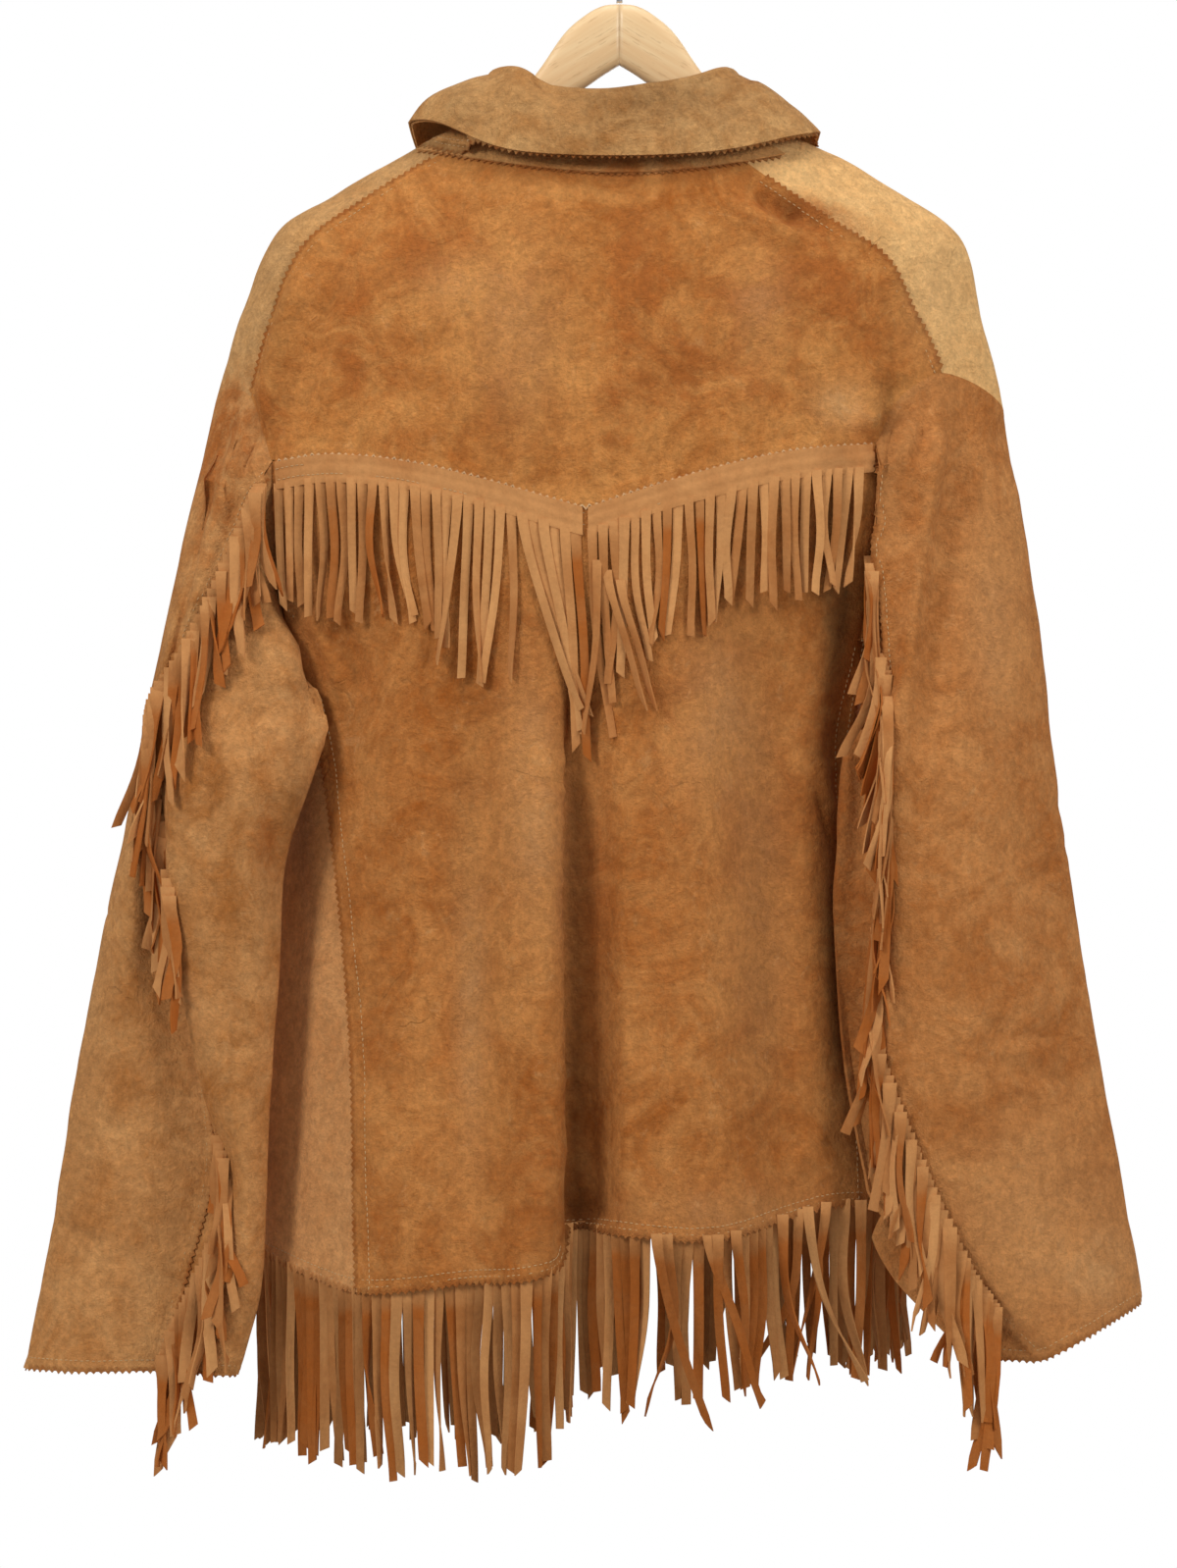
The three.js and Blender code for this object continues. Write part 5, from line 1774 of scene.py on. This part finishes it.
@dataclass
class SleeveFringe:
    """A run of fringe sewn into a sleeve's back seam."""

    node: str
    seed: int
    roots: Table
    pitch: float = 4.6
    orange: float = 0.5

    def hang(self, ground: Ground) -> Strands:
        """Hangs the strands from the seam, one over another.

        Args:
            ground: the leather that they lie on.

        Returns:
            The strands.
        """
        strands = Strands(f"{self.node}_strands", seed=self.seed)
        rng = strands.rng
        place = np.linspace(self.roots.key[0], self.roots.key[-1], 200)
        line = np.stack([self.roots.at("x", place), np.zeros(200), self.roots.at("z", place)], axis=-1)
        reach = self.roots.at("length", place)
        lean = self.roots.at("lean", place)
        marks = np.linspace(0, 199, len(resampled(line, self.pitch)))
        for k, mark in enumerate(marks):
            x, z = np.interp(mark, range(200), line[:, 0]), np.interp(mark, range(200), line[:, 2])
            y = ground.outermost(float(x), float(z))
            strand = Strand(
                float(x), (y if y is not None else -60.0) + 1.5, float(z) + 2,
                float(np.interp(mark, range(200), reach)) * rng.uniform(0.84, 1.1),
                lean=float(np.interp(mark, range(200), lean)) + rng.normal(0, 5.0),
                width=rng.uniform(6.6, 9.0),
                tone=strands.random_tone(self.orange),
                turn=rng.normal(0, 0.6),
                twist=rng.normal(0, 1.1),
                curl=rng.normal(0, 4.0),
                lift=1.6 + 1.5 * (k % 4) + rng.uniform(0, 0.8),
                slant=rng.normal(0, 2.4),
            )
            # Painted shade: a random darkening for the shade between strands.
            strands.add(strand, ground, shade=0.14 * rng.random())
        return strands


ROOT_COLUMNS = "k x z length lean"
SLEEVE_RUNS = (
    SleeveFringe(
        "fringe_sleeve_left_top", 21,
        Table(
            ROOT_COLUMNS,
            (0, -220, -378, 64, 2), (1, -228, -395, 66, 2), (2, -244, -433, 68, 0),
            (3, -263, -472, 76, -4), (4, -284, -504, 84, -8), (5, -289, -530, 86, -8),
            (6, -285, -565, 84, -2), (7, -279, -600, 78, 0), (8, -273, -640, 66, 2),
        ),
    ),
    SleeveFringe(
        "fringe_sleeve_left_cuff", 33,
        Table(
            ROOT_COLUMNS,
            (0, -246, -776, 50, 2), (1, -241, -800, 62, 0), (2, -243, -822, 70, 2),
            (3, -252, -847, 76, 2), (4, -264, -872, 74, 2), (5, -275, -896, 74, 2),
            (6, -282, -916, 72, 4),
        ),
    ),
    SleeveFringe(
        "fringe_sleeve_right", 47,
        Table(
            ROOT_COLUMNS,
            (0, 153, -422, 60, -2), (1, 156, -470, 66, -6), (2, 162, -500, 76, -10),
            (3, 162, -540, 84, -8), (4, 160, -608, 84, -4), (5, 154, -677, 74, -6),
            (6, 157, -720, 72, -2), (7, 172, -765, 72, -2), (8, 190, -808, 80, -4),
            (9, 213, -856, 88, 0), (10, 229, -880, 92, 0),
        ),
    ),
)


# ------------------------------------------------------------------- hanger


def closed_tube(name: str, rings: Array) -> Mesh:
    """A closed solid through rings of points, smooth round and capped at both ends.

    Args:
        name: the mesh's name.
        rings: the points in millimetres, one row for each ring, with room to repeat the first.

    Returns:
        The mesh.
    """
    rings[:, -1] = rings[:, 0]
    mesh = sheet_mesh(name, rings)
    bm = bmesh.new()
    bm.from_mesh(mesh)
    bmesh.ops.remove_doubles(bm, verts=bm.verts, dist=1e-6)
    bmesh.ops.holes_fill(bm, edges=[e for e in bm.edges if e.is_boundary])
    bmesh.ops.recalc_face_normals(bm, faces=bm.faces)
    bm.to_mesh(mesh)
    bm.free()
    return mesh


@dataclass
class Hanger:
    """A shaped wooden hanger: two arms mitred at the middle, and a wire hook."""

    sides: int = 28
    wire: float = 2.0
    reach: float = 22.0
    arm: Table = Table(
        "x top bottom depth",
        (0.2, -76, -114, 15), (10, -77, -120, 15), (20, -82, -127, 15), (34, -94, -136, 15),
        (50, -117, -147, 15), (68, -139, -158, 15), (90, -156, -175, 15), (121, -173, -194, 16),
        (165, -197, -219, 17), (196, -217, -236, 17), (203, -223, -236, 13),
    )

    def build(self) -> None:
        """Builds both arms and the hook."""
        for side in Side:
            x = np.linspace(0.04, 203, 70)
            top, bottom, depth = (self.arm.at(c, x)[:, None] for c in ("top", "bottom", "depth"))
            angle = np.linspace(0, 2 * math.pi, self.sides + 1)[None]
            rounded = lambda n: np.sign(n) * np.abs(n) ** 0.6
            y = depth / 2 * rounded(np.cos(angle))
            z = (top + bottom) / 2 + (top - bottom) / 2 * rounded(np.sin(angle))
            rings = np.stack(np.broadcast_arrays(x[:, None] * side.value, y, z), axis=-1)
            name = f"hanger_{side.word}_wood"
            piece = put(name, closed_tube(name, rings), Finish.WOOD)
            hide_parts(f"hanger_arm_{side.word}")
        self.hook()

    def hook(self) -> None:
        """Builds the hook: a stem, a swan neck and an arc past its widest point."""
        arc = np.radians(np.linspace(-35, 215, 40))
        low = [(0, -75.3), (0, -64), (0, -57), (4, -48), (11, -41)]
        centre = self.wire - self.reach
        bend = [(self.reach * math.cos(a), centre + self.reach * math.sin(a)) for a in arc]
        path = np.array(low + bend)
        path = resampled(np.stack([path[:, 0], np.zeros(len(path)), path[:, 1]], axis=-1), 2.2)
        for _ in range(3):
            path[1:-1] = (path[:-2] + 2 * path[1:-1] + path[2:]) / 4
        across = np.cross(units(np.gradient(path, axis=0)), [0.0, 1.0, 0.0])
        angle = np.linspace(0, 2 * math.pi, 17)[None, :, None]
        ring = across[:, None] * np.cos(angle) + np.array([0.0, 1.0, 0.0]) * np.sin(angle)
        rings = path[:, None] + ring * (self.wire - 0.1)
        piece = put("hanger_hook_wire", closed_tube("hanger_hook_wire", rings), Finish.WIRE)
        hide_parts("hanger_hook")


# ------------------------------------------------------------------- the jacket


@dataclass
class Jacket:
    """The whole garment: its panels, then their seams and stitching, then the fringe."""

    panels: dict[str, Panel] = field(default_factory=dict)
    bare: Optional[Ground] = None  # the panels alone
    ground: Optional[Ground] = None  # everything that is sewn on so far

    def build(self) -> None:
        """Builds every piece in order and logs the size of each panel's cut."""
        self.cut_panels()
        leather = [p.piece for p in self.panels.values()]
        self.ground = self.bare = Ground(leather)
        bands = self.fringe_strips()
        self.ground = Ground(leather + bands)
        edges = self.pinked_edges()
        self.ground = Ground(leather + bands + edges)
        self.stitch()
        self.hang_fringe()
        for panel in self.panels.values():
            harden([panel.piece, *panel.trims])
            panel.declare()

    def cut(self, node: str, *form: object, **more: object) -> None:
        """Cuts one panel and keeps it by its node's name."""
        self.panels[node] = Panel(node, *form, **more)
        self.panels[node].build()

    def cut_panels(self) -> None:
        """Cuts the yoke, the body, the sleeves, the collar and the neck band."""
        p, left, right = PATTERN, Side.LEFT, Side.RIGHT
        arms = ("hanger_left_wood", "hanger_right_wood")
        self.cut(
            "back_yoke", Finish.YOKE,
            between(lambda v: p.shoulder(left, v), lambda v: p.shoulder(right, v), p.yoke),
            470, 290, rests_on=arms,
        )
        self.cut(
            "back_lower", Finish.BACK,
            between(lambda v: p.side_seam(left, v), lambda v: p.side_seam(right, v), p.body),
            520, 500, rests_on=("back_yoke_leather",), cell=3.6,
        )
        for side in Side:
            word, sign = side.word, side.value
            seam, shoulder = (lambda v, s=side: p.side_seam(s, v)), (lambda v, s=side: p.shoulder(s, v))
            edge = fixed(sign * p.FRONT_EDGE)
            self.cut(
                f"front_{word}", Finish.FRONT, between(*(edge, seam)[::-sign], p.body), 300, 500,
                rests_on=(f"front_yoke_{word}_leather",),
            )
            self.cut(
                f"front_yoke_{word}", SHOULDER_FINISH[side],
                between(*(edge, shoulder)[::-sign], p.yoke), 260, 240, rests_on=arms,
            )
            sleeve = lambda a, b, s=side: (lambda t, v: p.sleeve(s, mix(a, b, t), v))
            self.cut(
                f"sleeve_upper_{word}", SLEEVE_FINISH[side], sleeve(p.FRONT_SEAM_AT - 1, p.SEAM_AT),
                190, 600, outward=float(sign),
                rests_on=(f"front_yoke_{word}_leather", "back_yoke_leather"),
            )
            self.cut(
                f"sleeve_under_{word}", SLEEVE_FINISH[side], sleeve(p.SEAM_AT, p.FRONT_SEAM_AT),
                190, 560, outward=float(sign), rests_on=(f"sleeve_upper_{word}_leather",),
            )
        collar = lambda t, v: p.collar(mix(-p.COLLAR_END, p.COLLAR_END, t)[None], (v * 6)[:, None])
        self.cut("collar_under", Finish.BAND, collar, 560, 100, cell=3.2, held="folded", lumps=0.5)
        self.cut(
            "collar_upper", Finish.COLLAR, collar, 560, 100, face=3.4, cell=3.2, held="folded",
            rests_on=("collar_under_leather",), lumps=0.8,
        )
        for side in Side:
            self.cut(
                f"neck_band_{side.word}", Finish.BAND, self.band(*p.BAND_SPAN[side]), 170, 26,
                face=3.4, cell=2.4, lumps=0.5, held="laid", rests_on=("back_yoke_leather",),
            )

    @staticmethod
    def band(first: float, last: float) -> Surface:
        """The neck band's surface between two places on the yoke's ring."""

        def surface(t: Array, v: Array) -> Array:
            """The band's points, from under the collar down."""
            s = mix(first, last, t)[None]
            return PATTERN.yoke(s, PATTERN.band_level(s, v[:, None]))

        return surface

    def fringe_strips(self) -> list[Piece]:
        """Lays the uncut strips of the yoke fringe below the yoke."""
        fringe, strips = YokeFringe(), []
        for word, first, last in (("left", -0.355, -0.003), ("right", 0.003, 0.355)):
            surface = fringe.strip_surface(first, last)
            t, v = np.linspace(0, 1, 130), np.linspace(0, 1, 14)
            base = surface(t, v)
            place, normal = self.ground.nearest(base.reshape(-1, 3))
            normal = normal.reshape(base.shape)
            down = v[:, None] * fringe.strip
            dent = sum(0.4 * np.exp(-(((down - at) / 1.3) ** 2)) for at in STRIP_STITCHES)
            points = place.reshape(base.shape) + normal * (1.6 - dent)[..., None]
            name = f"fringe_yoke_{word}_strip"
            mesh = sheet_mesh(name, points, flip=True)
            painted(mesh, points)
            paint(mesh, "tone", np.full(points.shape[:2], 0.25))
            piece = put(name, mesh, Finish.FRINGE)
            thicken(piece, 1.0)
            self.panels["back_lower"].trims.append(piece)
            strips.append(piece)
        return strips

    def seams(self) -> list[Seam]:
        """Every seam that shows, in the order in which they are sewn."""
        p, down = PATTERN, lambda first, last: np.linspace(first, last, 160)
        path = p.yoke_edge(down(-0.305, 0.247))
        seams = [Seam("yoke_edge", "back_yoke", Finish.YOKE, path, 1.0, STRIP_STITCHES, raw=1.0)]
        for side in Side:
            word, sign = side.word, float(side.value)
            path = p.yoke(p.shoulder(side, down(0.15, 0.99)), down(0.15, 0.99))
            seams.append(Seam(f"shoulder_edge_{word}", "back_yoke", Finish.YOKE, path, -sign, (-5.0,)))
            path = p.body(p.side_seam(side, down(0.1, 0.995)), down(0.1, 0.995))
            seams.append(
                Seam(f"side_edge_{word}", "back_lower", Finish.BACK, path, -sign, (-3.0, -10.0))
            )
            panel, sleeve = f"sleeve_upper_{word}", SLEEVE_FINISH[side]
            path = p.sleeve(side, np.array([p.SEAM_AT]), down(0.02, 0.995))[:, 0]
            seams.append(Seam(f"sleeve_edge_{word}", panel, sleeve, path, sign, (-5.5,)))
            path = p.sleeve(side, down(-0.1, 0.885), np.array([0.998, 1.0]))[0]
            seams.append(Seam(f"cuff_edge_{word}", panel, sleeve, path, -sign, (-6.0,), free=True))
            ends = p.front_span(side, p.HEM_FRONT[side], p.FRONT_EDGE)
            path, panel = p.body(down(*ends), 0.998), f"front_{word}"
            seams.append(
                Seam(f"hem_edge_{panel}", panel, Finish.FRONT, path, 1.0, (-3.0, -7.0), free=True)
            )
            along = down(*p.BAND_EDGE_SPAN[side])
            path, panel = p.yoke(along, p.band_level(along, 0.98)), f"neck_band_{word}"
            seams.append(Seam(f"neck_band_edge_{word}", panel, Finish.BAND, path, 1.0, (-4.0,)))
        path = p.body(down(*p.HEM_BACK), 0.998)
        seams.append(
            Seam("hem_edge_back", "back_lower", Finish.BACK, path, 1.0, (-3.0, -7.0), free=True)
        )
        path = p.collar(np.linspace(-0.925, 0.925, 300), np.full(300, 5.97))
        seams.append(
            Seam("collar_edge", "collar_upper", Finish.COLLAR, path, 1.0, (-5.0, -10.0), free=True)
        )
        return seams

    def pinked_edges(self) -> list[Piece]:
        """Pinks every edge."""
        edges = []
        for seam in self.seams():
            edges.append(PinkedEdge(seam, self.ground).build())
            self.panels[seam.panel].trims.append(edges[-1])
        return edges

    def stitch(self) -> None:
        """Stitches every seam."""
        for seam in self.seams():
            self.panels[seam.panel].trims.append(Stitching(seam, self.ground).build())

    def hang_fringe(self) -> None:
        """Hangs the fringe of the yoke, the chest, the sleeves and the hem."""
        yoke = YokeFringe()
        for side in Side:
            node = f"fringe_yoke_{side.word}"
            self.panels["back_lower"].trims.append(yoke.hang(side, self.ground, self.bare).finish(node))
        hem = HemFringe()
        strands = hem.hang("fringe_hem_back_strands", PATTERN.HEM_BACK, -1.0, 0.25)
        self.panels["back_lower"].trims.append(strands.finish("fringe_hem_back"))
        for side in Side:
            front = f"front_{side.word}"
            span = PATTERN.front_span(side, PATTERN.HEM_FRONT[side], PATTERN.FRINGE_END)
            strands = hem.hang(f"fringe_hem_{side.word}_strands", span, 1.0, 0.6)
            self.panels[front].trims.append(strands.finish(f"fringe_hem_{front}"))
        for run in SLEEVE_RUNS:
            side = run.node.split("_")[2]
            piece = run.hang(self.ground).finish(run.node)
            self.panels[f"sleeve_upper_{side}"].trims.append(piece)
        self.hang_chest()

    def hang_chest(self) -> None:
        """Hangs the chest fringe under the front yokes."""
        for side in Side:
            strands = Strands(f"fringe_front_{side.word}_strands", out=1.0, seed=61 + side.value)
            rng = strands.rng
            start = side.value * PATTERN.CHEST_FRINGE_START
            span = PATTERN.front_span(side, start, PATTERN.FRINGE_END)
            top = PATTERN.body_top(np.linspace(*span, 200))
            for k, (x, y, z) in enumerate(resampled(top, 6.6)):
                strands.add(
                    Strand(
                        x, y + 3, z - 2, 92 + rng.normal(0, 3),
                        lean=rng.normal(0, 2.5),
                        width=rng.uniform(5.4, 6.6),
                        tone=strands.random_tone(0.08),
                        turn=rng.normal(0, 0.2),
                        twist=rng.normal(0, 0.5),
                        lift=1.6 + 0.9 * (k % 2),
                    ),
                    self.ground,
                )
            piece = strands.finish(f"fringe_front_{side.word}")
            self.panels[f"front_{side.word}"].trims.append(piece)


# ------------------------------------------------------------------- studio


@dataclass
class Studio:
    """A plain pale floor, soft lights and a camera straight behind the jacket."""

    target: tuple[float, float, float] = (-0.0192, -0.045, -0.5594)
    distance: float = 3.2
    lens: float = 120.15
    floor_level: float = -1.7

    def build(self) -> None:
        """Sets up the whole studio."""
        self.camera()
        self.floor()
        self.backdrop_light()
        self.light("key", (-2.2, -1.9, 1.0), 1.0, 43.0, (1.0, 0.985, 0.96))
        self.light("fill", (2.3, -1.8, 0.6), 1.3, 34.0, (1.0, 0.99, 0.97))
        self.light("top", (0.1, -0.5, 1.6), 1.4, 18.0, (1.0, 1.0, 1.0))
        self.light("behind", (0.3, 2.4, 0.3), 2.2, 26.0, (1.0, 0.99, 0.97))

    def camera(self) -> None:
        """Places the camera."""
        data = bpy.data.cameras.new("camera")
        data.lens, data.sensor_width = self.lens, 36.0
        camera = bpy.data.objects.new("camera", data)
        camera.location = (self.target[0], self.target[1] - self.distance, self.target[2])
        camera.rotation_euler = (math.pi / 2, 0, 0)
        bpy.context.scene.collection.objects.link(camera)
        bpy.context.scene.camera = camera

    def floor(self) -> None:
        """Lays the floor."""
        bm = bmesh.new()
        bmesh.ops.create_circle(bm, cap_ends=True, segments=96, radius=2.1)
        bmesh.ops.translate(bm, verts=bm.verts, vec=(0, 0, self.floor_level))
        mesh = baked(bm, "floor")
        floor = bpy.data.objects.new("floor", mesh)
        bpy.context.scene.collection.objects.link(floor)
        graph = Graph("pale floor")
        graph.set(Base_Color=(0.82, 0.82, 0.81), Roughness=0.8)
        mesh.materials.append(graph.material)
        floor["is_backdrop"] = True

    def backdrop_light(self) -> None:
        """Makes the surroundings white, and dims the light that they cast."""
        world = bpy.data.worlds.new("studio")
        bpy.context.scene.world = world
        world.use_nodes = True
        nodes, links = world.node_tree.nodes, world.node_tree.links
        nodes.clear()
        output, join = nodes.new("ShaderNodeOutputWorld"), nodes.new("ShaderNodeMixShader")
        path = nodes.new("ShaderNodeLightPath")
        links.new(path.outputs["Is Camera Ray"], join.inputs[0])
        # What lights the jacket comes first, and what the camera sees comes second.
        for socket, colour, strength in ((1, (0.98, 0.985, 1.0, 1), 0.3), (2, (1, 1, 1, 1), 1.0)):
            light = nodes.new("ShaderNodeBackground")
            light.inputs["Color"].default_value = colour
            light.inputs["Strength"].default_value = strength
            links.new(light.outputs[0], join.inputs[socket])
        links.new(join.outputs[0], output.inputs[0])
        bpy.context.scene.view_settings.view_transform = "Standard"

    def light(
        self, name: str, place: Sequence[float], size: float, power: float, colour: Colour
    ) -> None:
        """Places one soft light that faces the jacket."""
        data = bpy.data.lights.new(name, "AREA")
        data.shape, data.size, data.energy, data.color = "DISK", size, power, colour
        lamp = bpy.data.objects.new(name, data)
        lamp.location = place
        way = Vector(self.target) - Vector(place)
        lamp.rotation_euler = way.to_track_quat("-Z", "Y").to_euler()
        bpy.context.scene.collection.objects.link(lamp)


def corners(box: object) -> list[list[float]]:
    """A box as plain lists of numbers."""
    return [[float(n) for n in corner] for corner in box]


def main() -> None:
    """Builds the studio, the hanger and the jacket, and works out both boxes."""
    logging.basicConfig(level=logging.INFO, format="%(name)s: %(message)s")
    Studio().build()
    Hanger().build()
    Jacket().build()
    {"cad": corners(CAD_BOX), "visual": corners(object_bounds())}


if __name__ == "__main__":
    main()
